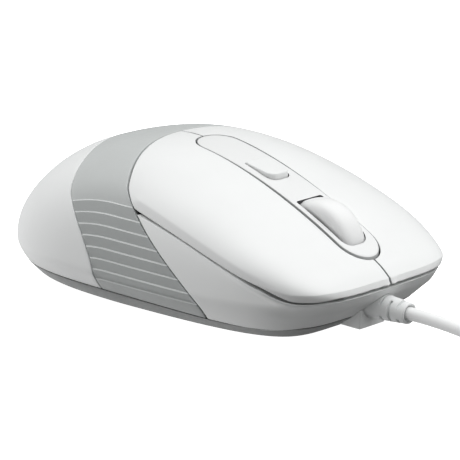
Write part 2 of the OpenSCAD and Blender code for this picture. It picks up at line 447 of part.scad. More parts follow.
// ---- fasteners and feet ---------------------------------------------------
module board_screws() color([0.6, 0.6, 0.62]) for (p = [POSTS[0], POSTS[1]]) translate([p[0], p[1], 0]) difference() {
  union() { translate([0, 0, 3.4]) cylinder(r = 0.8, h = 5); translate([0, 0, BT]) cylinder(r = 1.9, h = 1.2); }
  translate([-0.25, -1.5, BT + 0.7]) cube([0.5, 3, 1]);
}
module case_screws() color([0.6, 0.6, 0.62]) for (p = LEGS) translate([p[0], p[1], 0]) difference() {
  union() { translate([0, 0, foot_t + 0.5]) cylinder(r = 1, h = 11); translate([0, 0, foot_t]) cylinder(r = 2.2, h = 0.8); }
  translate([-0.3, -1.6, foot_t - 1]) cube([0.6, 3.2, 1.4]);
}
module glide(w, y, d) union() {
  box(-w + d / 2, w - d / 2, y - d / 2, y + d / 2, 0, foot_t);
  for (s = [-1, 1]) translate([s * (w - d / 2), y, 0]) cylinder(r = d / 2, h = foot_t);
}
module front_glide() color([0.25, 0.25, 0.26]) glide(17, 29, 6);
module rear_glide() color([0.25, 0.25, 0.26]) glide(15, -38, 6);

bottom_case();
side_frame();
grip_band();
rear_cover();
right_button();
left_button();
right_button_lever();
left_button_lever();
center_console();
inner_chassis();
rate_button();
rate_board();
rate_switch_body();
rate_switch_plunger();
wheel_tyre();
wheel_hub();
wheel_cradle();
encoder_body();
encoder_rotor();
middle_switch_body();
middle_switch_plunger();
right_switch_body();
right_switch_plunger();
left_switch_body();
left_switch_plunger();
circuit_board();
optical_sensor();
sensor_lens();
illumination_led();
led_clip();
microcontroller();
capacitors();
cable_header();
cable_plug();
cable_leads();
strain_relief();
cord_run();
cord_coil();
cord_tail();
cord_tie();
usb_plug_body();
usb_plug_shell();
usb_plug_tongue();
board_screws();
case_screws();
front_glide();
rear_glide();
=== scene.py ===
"""Looks of the wired office mouse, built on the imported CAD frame. Lengths are in millimetres until a mesh is made."""
import json
import math

import bmesh
import bpy
import numpy as np
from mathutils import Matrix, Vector


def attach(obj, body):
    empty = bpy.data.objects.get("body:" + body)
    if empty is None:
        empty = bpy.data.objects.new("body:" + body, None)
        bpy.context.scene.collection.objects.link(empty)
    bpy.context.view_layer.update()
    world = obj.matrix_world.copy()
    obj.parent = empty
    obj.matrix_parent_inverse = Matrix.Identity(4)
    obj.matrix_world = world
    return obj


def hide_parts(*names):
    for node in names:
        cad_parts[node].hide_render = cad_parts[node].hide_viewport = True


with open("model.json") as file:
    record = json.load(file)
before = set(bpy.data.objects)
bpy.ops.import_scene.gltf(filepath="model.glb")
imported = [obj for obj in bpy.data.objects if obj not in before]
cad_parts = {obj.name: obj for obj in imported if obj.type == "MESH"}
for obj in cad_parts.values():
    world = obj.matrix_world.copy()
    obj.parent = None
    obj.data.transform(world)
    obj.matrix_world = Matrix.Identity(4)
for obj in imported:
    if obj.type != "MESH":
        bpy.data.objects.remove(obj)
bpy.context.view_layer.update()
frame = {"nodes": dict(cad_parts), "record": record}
NODES = frame["nodes"]
MM = 0.001
scene = bpy.context.scene

# ---------------------------------------------------------------- camera
AZ, EL, DIST, FOCAL_PX = math.radians(133.95), math.radians(15.84), 631.8, 2701.6
TARGET = Vector((-1.23, 1.97, 14.76))
BACK = Vector((math.sin(AZ) * math.cos(EL), -math.cos(AZ) * math.cos(EL), math.sin(EL)))
cam_data = bpy.data.cameras.new("camera")
cam_data.sensor_width = 36.0
cam_data.lens = FOCAL_PX / 460.0 * 36.0
cam_data.clip_start, cam_data.clip_end = 0.01, 30.0
cam_data.dof.use_dof = False
cam = bpy.data.objects.new("camera", cam_data)
scene.collection.objects.link(cam)
cam.location = (TARGET + BACK * DIST) * MM
cam.rotation_mode = "QUATERNION"
cam.rotation_quaternion = (-BACK).to_track_quat("-Z", "Y")
scene.camera = cam

# ---------------------------------------------------------------- the skin, as in the CAD
L2 = 54.0
EQ = (-16.0, L2, L2, 32.0, 2.4, 4.3, 0.04)
PART = (-13.3, L2 - 1.7, L2 - 9.8, 26.6, 3.0, 5.5, 0.03)
FOOT = (-10.5, L2 - 3.5, L2 - 14.5, 25.3, 2.7, 5.6, 0.16)
CROWN = (22.6, 32.2, 34.9, 45.6, 33.2, 31.4, 23.3, 13.3)
G0 = L2 - 8
PARTING = 3.4
EDGE, COVER = 0.6, 0.15
WALL = 1.6
WHEEL_Y, WHEEL_Z, WHEEL_R, WHEEL_W = 32.4, 17.4, 10.9, 7.6
KEY_SEAM, HOLE, CON_GAP, CON_REAR, CON_FRONT, CON_LIFT = 0.4, 5.9, 0.4, -5.7, 47.6, 0.4
RATE_HALF, RATE_REAR, RATE_FRONT = 3.3, 11.1, 19.6
EXIT_Z, BOOT_TIP = 6.9, 58.0
NOSE_IN, KEY_TUCK = 1.4, 0.48
OPENING = 0.5


def rad(a):
    return np.asarray(a, float) * (math.pi / 180)


def clamp(x, a=0.0, b=1.0):
    return np.clip(x, a, b)


def planw(y, q):
    y = np.asarray(y, float)
    u = clamp((q[0] - y) / (q[0] + q[1]))
    v = clamp((y - q[0]) / (q[2] - q[0]))
    rear = q[3] * (1 - u ** q[4]) ** (1 / q[4])
    fore = q[3] * (1 - v ** q[5]) ** (1 / q[5]) * (1 - q[6] * v ** 1.5)
    return np.where(y < q[0], rear, fore)


def lerp3(y, a, b, c):
    t = (np.asarray(y, float) + L2) / (2 * L2)
    return a * (1 - t) * (1 - 2 * t) + 4 * b * t * (1 - t) + c * t * (2 * t - 1)


def equator(y):
    return lerp3(y, 9.2, 9.6, 11.8)


def crown(y):
    y = np.asarray(y, float)
    e = equator(y)
    t = clamp((y + L2) / (2 * L2))
    s = sum(math.comb(7, i) * t ** i * (1 - t) ** (7 - i) * CROWN[i] for i in range(8))
    u, v = clamp((-30 - y) / (L2 - 30)), clamp((y - L2 + 5) / 5)
    return e + (s - e) * (1 - u ** 2.2) ** (1 / 2.2) * (1 - v ** 2.2) ** (1 / 2.2)


def ztop(x, y):
    e, n = equator(y), lerp3(y, 2.1, 2.9, 3.9)
    r = clamp(np.abs(x) / np.maximum(planw(y, EQ), 0.001))
    return e + (crown(y) - e) * (1 - r ** n) ** (1 / n)


def up(ph, u):
    g = np.sin(rad(90 * np.asarray(u, float))) ** 0.69
    sp = np.sin(rad(ph)) * np.ones_like(g)
    y = sp * (G0 + (L2 - G0) * g)
    x = g * planw(L2 * sp, EQ)
    return np.stack([x, y, ztop(x, y)], -1)


def low(ph, s):
    s = np.asarray(s, float)
    sp = np.sin(rad(ph)) * np.ones_like(s)
    ya = L2 * sp
    yb = (PART[2] - PART[1]) / 2 + (PART[2] + PART[1]) / 2 * sp
    w = clamp((np.asarray(ph, float) - 42) / 26)
    w = w * w * (3 - 2 * w)
    q = s ** (1.5 - 0.5 * w)
    x = planw(ya, EQ) * (1 - q) + planw(yb, PART) * q
    return np.stack([x, ya * (1 - q) + yb * q, equator(ya) * (1 - s) + (PARTING + 0.1) * s], -1)


def skin(ph, v):
    ph, v = np.broadcast_arrays(np.asarray(ph, float), np.asarray(v, float))
    return np.where((v <= 1)[..., None], up(ph, np.minimum(v, 1)), low(ph, clamp(v - 1)))


def smooth(t):
    t = clamp(t)
    return t * t * (3 - 2 * t)


def part_s(ph):
    """Where the lower skin ends on the base tray: a little higher round the nose."""
    return 1 - 0.13 * smooth((np.asarray(ph, float) - 35) / 35)


def band_edges():
    """Front and rear edge of the band: round over the back, then along slopes set by the height down the side."""
    v = np.concatenate([np.linspace(0, 0.98, 197), 1 - 0.02 * (1 - np.linspace(0, 1, 81)[1:]) ** 2, np.linspace(1, 2, 101)[1:]])
    t = np.minimum(v, 1)
    front = -16.5 + 22.5 * t + 13.2 * np.maximum(0, (t - 0.55) / 0.45) ** 1.4
    rear = -41.5 + 31 * t + np.where(t < 0.5, 1.9, 0.9) * np.sin(2 * math.pi * t)
    a, b = front.copy(), rear.copy()
    for _ in range(60):
        a = 0.5 * a + 0.5 * (0.55 + 1.36 * (25.8 - skin(a, v)[..., 2]))
        z = skin(b, v)[..., 2]
        b = 0.5 * b + 0.5 * (-10.65 + 0.3182 * z - 0.03222 * z * z)
    w = clamp((v - 0.5) / 0.16)
    w = w * w * (3 - 2 * w)
    return v, front * (1 - w) + a * w, rear * (1 - w) + b * w


EDGE_V, FRONT_PH, REAR_PH = band_edges()


def band_front(v):
    return np.interp(np.asarray(v, float), EDGE_V, FRONT_PH)


def band_rear(v):
    return np.interp(np.asarray(v, float), EDGE_V, REAR_PH)


def lip_z(ph):
    w = clamp(1 - np.asarray(ph, float) / 58)
    dip = smooth((np.asarray(ph, float) - 44) / 18) * (0.95 - 0.5 * smooth((np.asarray(ph, float) - 66) / 14))
    return 12.5 + 13.3 * w ** (1.3 - 0.45 * w) - dip


def lip_gap(ph):
    # room for the key's stroke, which grows towards the nose
    return 0.1 + 0.5 * smooth((ph - 34) / 16) + 0.00785 * (L2 * np.sin(rad(ph)) + 15)


def u_at(ph, z):
    ph, z = np.broadcast_arrays(np.asarray(ph, float), np.asarray(z, float))
    a, b = np.full(ph.shape, 0.3), np.ones(ph.shape)
    for _ in range(40):
        m = (a + b) / 2
        high = up(ph, m)[..., 2] > z
        a, b = np.where(high, m, a), np.where(high, b, m)
    return (a + b) / 2


def key_u(ph):
    return u_at(ph, lip_z(ph) + lip_gap(ph) / 2)


def corner(f):
    ph = 1.0
    for _ in range(30):
        ph = float(band_front(f(np.array(ph))) + EDGE)
    return ph


KEY_C = corner(key_u)
FRAME_C0 = corner(lambda p: u_at(p, lip_z(p) - lip_gap(p) / 2))


def frame_top_z(ph):
    # the gap opens a little where key, band and frame meet
    return lip_z(ph) - lip_gap(ph) / 2 - OPENING * clamp(1 - (np.asarray(ph, float) - FRAME_C0) / 17)


def frame_u(ph):
    return u_at(ph, frame_top_z(ph))


FRAME_C = corner(frame_u)


def side_normal(ph):
    p = np.clip(ph, -89, 89)
    a, b = rad(p + 0.5), rad(p - 0.5)
    dy = L2 * np.sin(a) - L2 * np.sin(b)
    dx = planw(L2 * np.sin(a), EQ) - planw(L2 * np.sin(b), EQ)
    n = np.stack([dy, -dx, 0 * dy], -1)
    return n / np.linalg.norm(n, axis=-1, keepdims=True)


def lift(y):
    t = clamp((np.asarray(y, float) - 2) / 34)
    return CON_LIFT * t * t * (3 - 2 * t)


# ---------------------------------------------------------------- mesh helpers
def stations(length, n, r0, r1, dense=0.0):
    k = np.array([0, 0.08, 0.3, 0.62, 1.0])
    r0, r1 = min(r0, 0.4 * length), min(r1, 0.4 * length)
    lo = k * r0 if r0 > 0 else np.array([0.0])
    hi = length - (k * r1)[::-1] if r1 > 0 else np.array([length])
    if dense > 0:
        knee = max(length - dense, 0.5 * length)
        return np.concatenate([lo, np.linspace(lo[-1], knee, n + 2)[1:], np.linspace(knee, hi[0], 40)[1:-1], hi])
    return np.concatenate([lo, np.linspace(lo[-1], hi[0], n + 2)[1:-1], hi])


def resample(P, n, r0, r1, axis, dense=0.0):
    P = np.moveaxis(P, axis, 0)
    S = np.concatenate([np.zeros((1, P.shape[1])), np.cumsum(np.linalg.norm(np.diff(P, axis=0), axis=2), 0)])
    cols = []
    for b in range(P.shape[1]):
        a = stations(S[-1, b], n, r0, r1, dense)
        cols.append(np.stack([np.interp(a, S[:, b], P[:, b, c]) for c in range(3)], -1))
    return np.moveaxis(np.stack(cols, 1), 0, axis)


def arcs(P, axis):
    Q = np.moveaxis(P, axis, 0)
    S = np.concatenate([np.zeros((1, Q.shape[1])), np.cumsum(np.linalg.norm(np.diff(Q, axis=0), axis=2), 0)])
    return np.moveaxis(S, 0, axis), np.moveaxis(S[-1:] - S, 0, axis)


def fillet(d, r):
    d = np.clip(d, 0, r)
    return r - np.sqrt(np.maximum(r * r - (r - d) ** 2, 0))


def grid_quads(R, C):
    i = np.arange(R * C).reshape(R, C)
    return np.stack([i[:-1, :-1], i[:-1, 1:], i[1:, 1:], i[1:, :-1]], -1).reshape(-1, 4)


def weld(P, F, tol=2e-4):
    """One index per place; faces that lose a corner become triangles."""
    key = np.round(P / tol).astype(np.int64)
    _, first, inv = np.unique(key, axis=0, return_index=True, return_inverse=True)
    inv = inv.ravel()
    faces = []
    for f in F:
        g = []
        for k in f:
            j = int(inv[k])
            if j not in g:
                g.append(j)
        if len(g) > 2:
            faces.append(g)
    return first, faces


def normals(P, F):
    N = np.zeros_like(P)
    for f in F:
        p = P[f]
        n = np.zeros(3)
        for k in range(1, len(f) - 1):
            n += np.cross(p[k] - p[0], p[k + 1] - p[0])
        N[f] += n
    return N / np.maximum(np.linalg.norm(N, axis=1, keepdims=True), 1e-12)


def make(name, V, F, material, body, replaces=(), sharp=38.0):
    """A mesh object from millimetre points, faces outward, riding on a body."""
    me = bpy.data.meshes.new(name)
    me.from_pydata((np.asarray(V, float) * MM).tolist(), [], [list(map(int, f)) for f in F])
    bm = bmesh.new()
    bm.from_mesh(me)
    bmesh.ops.remove_doubles(bm, verts=bm.verts, dist=2e-7)
    bmesh.ops.dissolve_degenerate(bm, edges=bm.edges, dist=1e-7)
    bmesh.ops.recalc_face_normals(bm, faces=bm.faces)
    bm.to_mesh(me)
    bm.free()
    ob = bpy.data.objects.new(name, me)
    scene.collection.objects.link(ob)
    return dress(ob, material, body, replaces, sharp)


def dress(ob, material, body, replaces=(), sharp=38.0):
    me = ob.data
    if material is not None:
        me.materials.clear()
        me.materials.append(material)
    me.polygons.foreach_set("use_smooth", [True] * len(me.polygons))
    me.set_sharp_from_angle(angle=math.radians(sharp))
    if body:
        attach(ob, body)
    if replaces:
        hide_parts(*replaces)
    return ob


def cut(ob, cutter, operation="DIFFERENCE", sharp=38.0):
    """Boolean with another mesh, applied."""
    m = ob.modifiers.new("cut", "BOOLEAN")
    m.operation, m.solver, m.object = operation, "EXACT", cutter
    dg = bpy.context.evaluated_depsgraph_get()
    me = bpy.data.meshes.new_from_object(ob.evaluated_get(dg))
    ob.modifiers.clear()
    old = ob.data
    ob.data = me
    me.name = old.name
    bpy.data.meshes.remove(old)
    dead = cutter.data
    bpy.data.objects.remove(cutter)
    bpy.data.meshes.remove(dead)
    me.polygons.foreach_set("use_smooth", [True] * len(me.polygons))
    me.set_sharp_from_angle(angle=math.radians(sharp))
    return ob


def tool(V, F):
    me = bpy.data.meshes.new("tool")
    me.from_pydata((np.asarray(V, float) * MM).tolist(), [], [list(map(int, f)) for f in F])
    bm = bmesh.new()
    bm.from_mesh(me)
    bmesh.ops.remove_doubles(bm, verts=bm.verts, dist=2e-7)
    bmesh.ops.recalc_face_normals(bm, faces=bm.faces)
    bm.to_mesh(me)
    bm.free()
    ob = bpy.data.objects.new("tool", me)
    scene.collection.objects.link(ob)
    return ob


def joined(ob, other):
    """Adds another closed mesh to a piece as it is."""
    bm = bmesh.new()
    bm.from_mesh(ob.data)
    bm.from_mesh(other.data)
    bm.to_mesh(ob.data)
    bm.free()
    dead = other.data
    bpy.data.objects.remove(other)
    bpy.data.meshes.remove(dead)
    return ob


def loft(rings, caps=True):
    """Closed rings of equal length, joined in order."""
    n = len(rings[0])
    V = np.concatenate(rings)
    F = []
    for k in range(len(rings) - 1):
        a = k * n
        F += [[a + i, a + (i + 1) % n, a + n + (i + 1) % n, a + n + i] for i in range(n)]
    if caps:
        F += [list(range(n))[::-1], list(range((len(rings) - 1) * n, len(rings) * n))]
    return V, F


def spin(profile, n=128):
    """Profile of (radius, height) about +Z, closed where the radius is 0."""
    a = np.linspace(0, 2 * math.pi, n, endpoint=False)
    return [np.stack([r * np.cos(a), r * np.sin(a), np.full(n, z)], -1) for r, z in profile]


def box_tool(x0, x1, y0, y1, z0, z1):
    V = [(x, y, z) for z in (z0, z1) for x, y in ((x0, y0), (x1, y0), (x1, y1), (x0, y1))]
    return tool(V, [[3, 2, 1, 0], [4, 5, 6, 7], [0, 1, 5, 4], [1, 2, 6, 5], [2, 3, 7, 6], [3, 0, 4, 7]])


def round_rect(x0, x1, y0, y1, radii, n=10):
    """Outline anticlockwise from the rear left corner; radii rear left, rear right, front right, front left."""
    out = []
    for (cx, cy, sx, sy, a0), r in zip(((x0, y0, 1, 1, 180), (x1, y0, -1, 1, 270), (x1, y1, -1, -1, 0), (x0, y1, 1, -1, 90)), radii):
        for a in np.linspace(a0, a0 + 90, n):
            out.append((cx + sx * r + r * math.cos(math.radians(a)), cy + sy * r + r * math.sin(math.radians(a))))
    return np.array(out)


def shell(name, P, F, drop, thick, material, body, replaces, inner=None, sharp=38.0):
    """Closed wall from a welded sheet: the outside is lowered by drop at its edges, the inside lies thick below it."""
    first, faces = weld(P, F)
    P, drop = P[first], drop[first]
    N = normals(P, faces)
    if np.median(np.einsum("ij,ij->i", N, P - np.array([0, 0, 8.0]))) < 0:
        faces = [f[::-1] for f in faces]
        N = -N
    outer = P - N * drop[:, None]
    inside = P - N * thick if inner is None else inner(P, N, first)
    n = len(P)
    count = {}
    for f in faces:
        for a, b in zip(f, f[1:] + f[:1]):
            count[(a, b)] = count.get((a, b), 0) + 1
    rim = [(a, b) for (a, b) in count if (b, a) not in count]
    allF = faces + [[k + n for k in f[::-1]] for f in faces] + [[b, a, a + n, b + n] for a, b in rim]
    return make(name, np.concatenate([outer, inside]), allF, material, body, replaces, sharp)


# ---------------------------------------------------------------- materials
def new_material(name):
    m = bpy.data.materials.new(name)
    m.use_nodes = True
    nt = m.node_tree
    return m, nt, nt.nodes["Principled BSDF"]


def link(nt, a, b):
    nt.links.new(a, b)


def noise(nt, coord, scale, detail=3.0, rough=0.55):
    t = nt.nodes.new("ShaderNodeTexNoise")
    t.inputs["Scale"].default_value = scale
    t.inputs["Detail"].default_value = detail
    t.inputs["Roughness"].default_value = rough
    link(nt, coord, t.inputs["Vector"])
    return t


def span(nt, value, lo, hi, a=0.3, b=0.7):
    r = nt.nodes.new("ShaderNodeMapRange")
    r.inputs["From Min"].default_value, r.inputs["From Max"].default_value = a, b
    r.inputs["To Min"].default_value, r.inputs["To Max"].default_value = lo, hi
    link(nt, value, r.inputs["Value"])
    return r.outputs["Result"]


def two_tone(nt, fac, a, b):
    m = nt.nodes.new("ShaderNodeMix")
    m.data_type = "RGBA"
    m.inputs[6].default_value, m.inputs[7].default_value = (*a, 1), (*b, 1)
    link(nt, fac, m.inputs[0])
    return m.outputs[2]


def moulded(name, color, rough=0.42, grain=4200.0, bump=0.000012, strength=0.35, tone=0.025, spread=0.07, spec=0.5, coat=0.0, sheen=0.0):
    """Moulded plastic or rubber: fine spark-eroded grain, slight tone and gloss drift."""
    m, nt, b = new_material(name)
    co = nt.nodes.new("ShaderNodeTexCoord").outputs["Object"]
    drift = noise(nt, co, 70.0, 4.0)
    fine = noise(nt, co, grain, 2.0, 0.6)
    mid = noise(nt, co, grain * 0.22, 3.0, 0.6)
    c = np.array(color)
    link(nt, two_tone(nt, span(nt, drift.outputs["Fac"], 0, 1), tuple(c * (1 - tone)), tuple(np.minimum(c * (1 + tone), 1))), b.inputs["Base Color"])
    link(nt, span(nt, mid.outputs["Fac"], rough - spread, rough + spread), b.inputs["Roughness"])
    bp = nt.nodes.new("ShaderNodeBump")
    bp.inputs["Strength"].default_value, bp.inputs["Distance"].default_value = strength, bump
    link(nt, fine.outputs["Fac"], bp.inputs["Height"])
    link(nt, bp.outputs["Normal"], b.inputs["Normal"])
    b.inputs["Specular IOR Level"].default_value = spec
    b.inputs["Coat Weight"].default_value = coat
    b.inputs["Sheen Weight"].default_value = sheen
    return m


def metal(name, color, rough=0.28, along=(1, 60, 60)):
    """Folded or turned steel: streaks along one direction."""
    m, nt, b = new_material(name)
    co = nt.nodes.new("ShaderNodeTexCoord").outputs["Object"]
    mp = nt.nodes.new("ShaderNodeMapping")
    mp.inputs["Scale"].default_value = along
    link(nt, co, mp.inputs["Vector"])
    streak = noise(nt, mp.outputs["Vector"], 160.0, 4.0)
    spots = noise(nt, co, 900.0, 3.0)
    c = np.array(color)
    link(nt, two_tone(nt, span(nt, spots.outputs["Fac"], 0, 1), tuple(c * 0.93), tuple(np.minimum(c * 1.05, 1))), b.inputs["Base Color"])
    link(nt, span(nt, streak.outputs["Fac"], rough - 0.08, rough + 0.1), b.inputs["Roughness"])
    bp = nt.nodes.new("ShaderNodeBump")
    bp.inputs["Strength"].default_value, bp.inputs["Distance"].default_value = 0.25, 0.000008
    link(nt, streak.outputs["Fac"], bp.inputs["Height"])
    link(nt, bp.outputs["Normal"], b.inputs["Normal"])
    b.inputs["Metallic"].default_value = 1.0
    return m


def board(name):
    """Solder mask with copper lines that show through it."""
    m, nt, b = new_material(name)
    co = nt.nodes.new("ShaderNodeTexCoord").outputs["Object"]
    br = nt.nodes.new("ShaderNodeTexBrick")
    br.inputs["Scale"].default_value = 420.0
    br.inputs["Color1"].default_value = (0.020, 0.130, 0.050, 1)
    br.inputs["Color2"].default_value = (0.028, 0.160, 0.065, 1)
    br.inputs["Mortar"].default_value = (0.070, 0.260, 0.100, 1)
    br.inputs["Mortar Size"].default_value = 0.06
    link(nt, co, br.inputs["Vector"])
    link(nt, br.outputs["Color"], b.inputs["Base Color"])
    fine = noise(nt, co, 2600.0, 2.0)
    link(nt, span(nt, fine.outputs["Fac"], 0.26, 0.42), b.inputs["Roughness"])
    bp = nt.nodes.new("ShaderNodeBump")
    bp.inputs["Strength"].default_value, bp.inputs["Distance"].default_value = 0.4, 0.00003
    link(nt, br.outputs["Fac"], bp.inputs["Height"])
    link(nt, bp.outputs["Normal"], b.inputs["Normal"])
    return m


def clear(name, color):
    m, nt, b = new_material(name)
    co = nt.nodes.new("ShaderNodeTexCoord").outputs["Object"]
    fine = noise(nt, co, 700.0, 3.0)
    link(nt, two_tone(nt, span(nt, fine.outputs["Fac"], 0, 1), tuple(np.array(color) * 0.96), color), b.inputs["Base Color"])
    link(nt, span(nt, fine.outputs["Fac"], 0.04, 0.12), b.inputs["Roughness"])
    b.inputs["Transmission Weight"].default_value = 0.9
    b.inputs["IOR"].default_value = 1.5
    return m


WHITE = moulded("white_plastic", (0.824, 0.836, 0.832), rough=0.40, tone=0.012)
PALE = moulded("pale_plastic", (0.814, 0.827, 0.824), rough=0.40, tone=0.014)
CONSOLE = moulded("console_plastic", (0.798, 0.808, 0.805), rough=0.38, tone=0.012)
# painted shade and painted highlight: darker and lighter copies of the grip grey for the rib faces and their ledges
RIB_FACE_SHADE = moulded("grip_rib_painted_shade", (0.408, 0.427, 0.423), rough=0.5, grain=3600.0, bump=0.00002, strength=0.45, tone=0.02)
LEDGE_HIGHLIGHT = moulded("grip_ledge_painted_highlight", (0.64, 0.66, 0.655), rough=0.48, grain=3600.0, bump=0.000018, strength=0.45, tone=0.02)
GREY = moulded("grip_plastic", (0.525, 0.545, 0.54), rough=0.48, grain=3600.0, bump=0.000018, strength=0.45, tone=0.02)
BASE = moulded("base_plastic", (0.288, 0.296, 0.294), rough=0.5, grain=2600.0, bump=0.00003, strength=0.55, tone=0.03)
TYRE = moulded("tyre_rubber", (0.861, 0.869, 0.866), rough=0.36, grain=5200.0, bump=0.000008, tone=0.012)
BOOT = moulded("boot_rubber", (0.824, 0.839, 0.836), rough=0.5, grain=3000.0, bump=0.00002, tone=0.025)
# painted shade: a darker grey for the walls of narrow gaps, standing in for the shade inside them
SHADE = moulded("gap_wall_painted_shade", (0.42, 0.43, 0.43), rough=0.55, grain=3000.0, bump=0.00002, tone=0.05)
CORD = moulded("cord_jacket", (0.912, 0.92, 0.918), rough=0.38, grain=3800.0, bump=0.00001, tone=0.02)
STRAP = moulded("tie_strap", (0.022, 0.022, 0.025), rough=0.62, grain=2200.0, bump=0.00004, strength=0.6, tone=0.1, sheen=0.3)
# black plastic of the inner parts, also used as painted shade on the walls of the console's openings
BLACK_AND_PAINTED_SHADE = moulded("black_plastic_and_painted_shade", (0.035, 0.035, 0.038), rough=0.5, grain=2600.0, bump=0.00002, tone=0.06)
NATURAL = moulded("natural_plastic", (0.62, 0.62, 0.57), rough=0.42, grain=2800.0, bump=0.000015, tone=0.03)
PLUNGER = moulded("plunger_plastic", (0.72, 0.72, 0.70), rough=0.3, grain=3500.0, bump=0.000008, tone=0.02)
RED = moulded("red_plastic", (0.45, 0.035, 0.028), rough=0.3, grain=3500.0, bump=0.000008, tone=0.05)
CHIP = moulded("chip_epoxy", (0.018, 0.018, 0.02), rough=0.58, grain=5200.0, bump=0.000015, tone=0.12)
LEAD = moulded("lead_sleeve", (0.36, 0.03, 0.025), rough=0.4, grain=3500.0, bump=0.00001, tone=0.06)
GLIDE = moulded("glide_film", (0.085, 0.086, 0.09), rough=0.26, grain=1800.0, bump=0.000012, tone=0.08)
STEEL = metal("plug_steel", (0.66, 0.67, 0.69), 0.26, (60, 1, 60))
ZINC = metal("screw_zinc", (0.52, 0.52, 0.54), 0.34, (1, 1, 40))
CAN = metal("can_aluminium", (0.55, 0.57, 0.62), 0.36, (1, 1, 50))
GOLD = metal("contact_gold", (0.78, 0.56, 0.22), 0.24, (60, 1, 60))
BOARD = board("board_mask")
LENS = clear("lens_clear", (0.80, 0.86, 0.90))

SLOT_LOOK = {
    "shell_white": WHITE, "cover_white": PALE, "band_grey": GREY, "frame_white": WHITE, "base_grey": BASE, "wheel_rubber": TYRE,
    "boot_rubber": BOOT, "cord_jacket": CORD, "tie_black": STRAP, "inner_black": BLACK_AND_PAINTED_SHADE, "inner_natural": NATURAL, "board_green": BOARD,
    "plunger_white": PLUNGER, "plunger_red": RED, "chip_black": CHIP, "lens_clear": LENS, "led_red": RED, "can_aluminium": CAN,
    "lead_sleeve": LEAD, "plug_steel": STEEL, "screw_steel": ZINC, "glide_grey": GLIDE}
for sub in frame["record"]["subparts"]:
    me = NODES[sub["node"]].data
    me.materials.clear()
    me.materials.append(SLOT_LOOK[sub["material_slot"]])

# ---------------------------------------------------------------- cord, first
RUN = np.array([[0, 58, 6.9], [0, 63, 6.9], [0, 68, 6.7], [0, 73, 6.3], [0, 79, 5.6], [0, 85, 4.8], [0, 91, 3.9], [0, 97, 3.1], [0, 103, 2.55], [0, 108, 2.4]], float)
TAIL = np.array([[-44, 108, 11.4], [-44, 104, 10.6], [-44, 100, 8.8], [-44, 96, 6.6], [-44, 92, 4.7], [-44, 89.6, 4.1], [-44, 88, 4]], float)
COIL = np.array([-22.0, 108.0])
CORD_D = 3.0


def smooth_line(points, step=0.8):
    """Catmull-Rom curve through the points."""
    p = np.concatenate([[2 * points[0] - points[1]], points, [2 * points[-1] - points[-2]]])
    out = []
    for i in range(1, len(p) - 2):
        n = max(2, int(np.linalg.norm(p[i + 1] - p[i]) / step))
        for t in np.linspace(0, 1, n, endpoint=False):
            out.append(0.5 * (2 * p[i] + (p[i + 1] - p[i - 1]) * t + (2 * p[i - 1] - 5 * p[i] + 4 * p[i + 1] - p[i + 2]) * t * t
                              + (3 * p[i] - p[i - 1] - 3 * p[i + 1] + p[i + 2]) * t ** 3))
    out.append(p[-2])
    return np.array(out)


def winding():
    """Four layers of a neat coil, in, up, out, up, in, up, out."""
    per, r_out, r_in = 13.5 / 4, 22.05, 11.9
    t = np.linspace(0, 13.5, 13 * 44 + 22)
    layer = np.minimum((t / per).astype(int), 3)
    f = t / per - layer
    r = np.where(layer % 2 == 0, r_out + (r_in - r_out) * f, r_in + (r_out - r_in) * f)
    z = np.full_like(t, 2.4)
    for k in (1, 2, 3):
        s = clamp((t - (k * per - 0.16)) / 0.32)
        z = z + 3.02 * s * s * (3 - 2 * s)
    a = 2 * math.pi * t
    return np.stack([COIL[0] + r * np.cos(a), COIL[1] + r * np.sin(a), z], -1)


lead_in = np.array([[0, 52, 6.9], [0, 55, 6.9]], float)
coil_line = winding()
tail_line = smooth_line(np.concatenate([[coil_line[-1]], TAIL[1:], [[-44, 85.5, 4]]]))
cord_line = np.concatenate([smooth_line(np.concatenate([lead_in, RUN]))[:-1], coil_line[:-1], tail_line])
cd = bpy.data.curves.new("cord", "CURVE")
cd.dimensions = "3D"
cd.bevel_depth = CORD_D / 2 * MM
cd.bevel_resolution = 5
cd.use_fill_caps = True
sp = cd.splines.new("POLY")
sp.points.add(len(cord_line) - 1)
for point, co in zip(sp.points, cord_line):
    point.co = (co[0] * MM, co[1] * MM, co[2] * MM, 1)
sp.use_smooth = True
cord = bpy.data.objects.new("cord", cd)
scene.collection.objects.link(cord)
cd.materials.append(CORD)
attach(cord, "base")
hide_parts("cord_run", "cord_coil", "cord_tail")

# ---------------------------------------------------------------- boot (slotted strain relief)
boot_profile = [(0, 42), (3.3, 42), (3.5, 42.2), (3.5, 43.1), (2.6, 43.3), (2.6, 45.0), (3.3, 45.4), (3.22, 47.0), (3.1, 49.0), (2.9, 52.0), (2.68, 54.8), (2.5, 57.0),
                (2.42, 57.9), (2.36, 58.1), (2.26, 58.2), (1.95, 58.2), (1.85, 58.1), (1.8, 57.7), (1.55, 57.5), (1.55, 50.0), (0, 50.0)]


def along_y(rings, z=EXIT_Z):
    return [np.stack([q[:, 0], q[:, 2], z - q[:, 1]], -1) for q in rings]


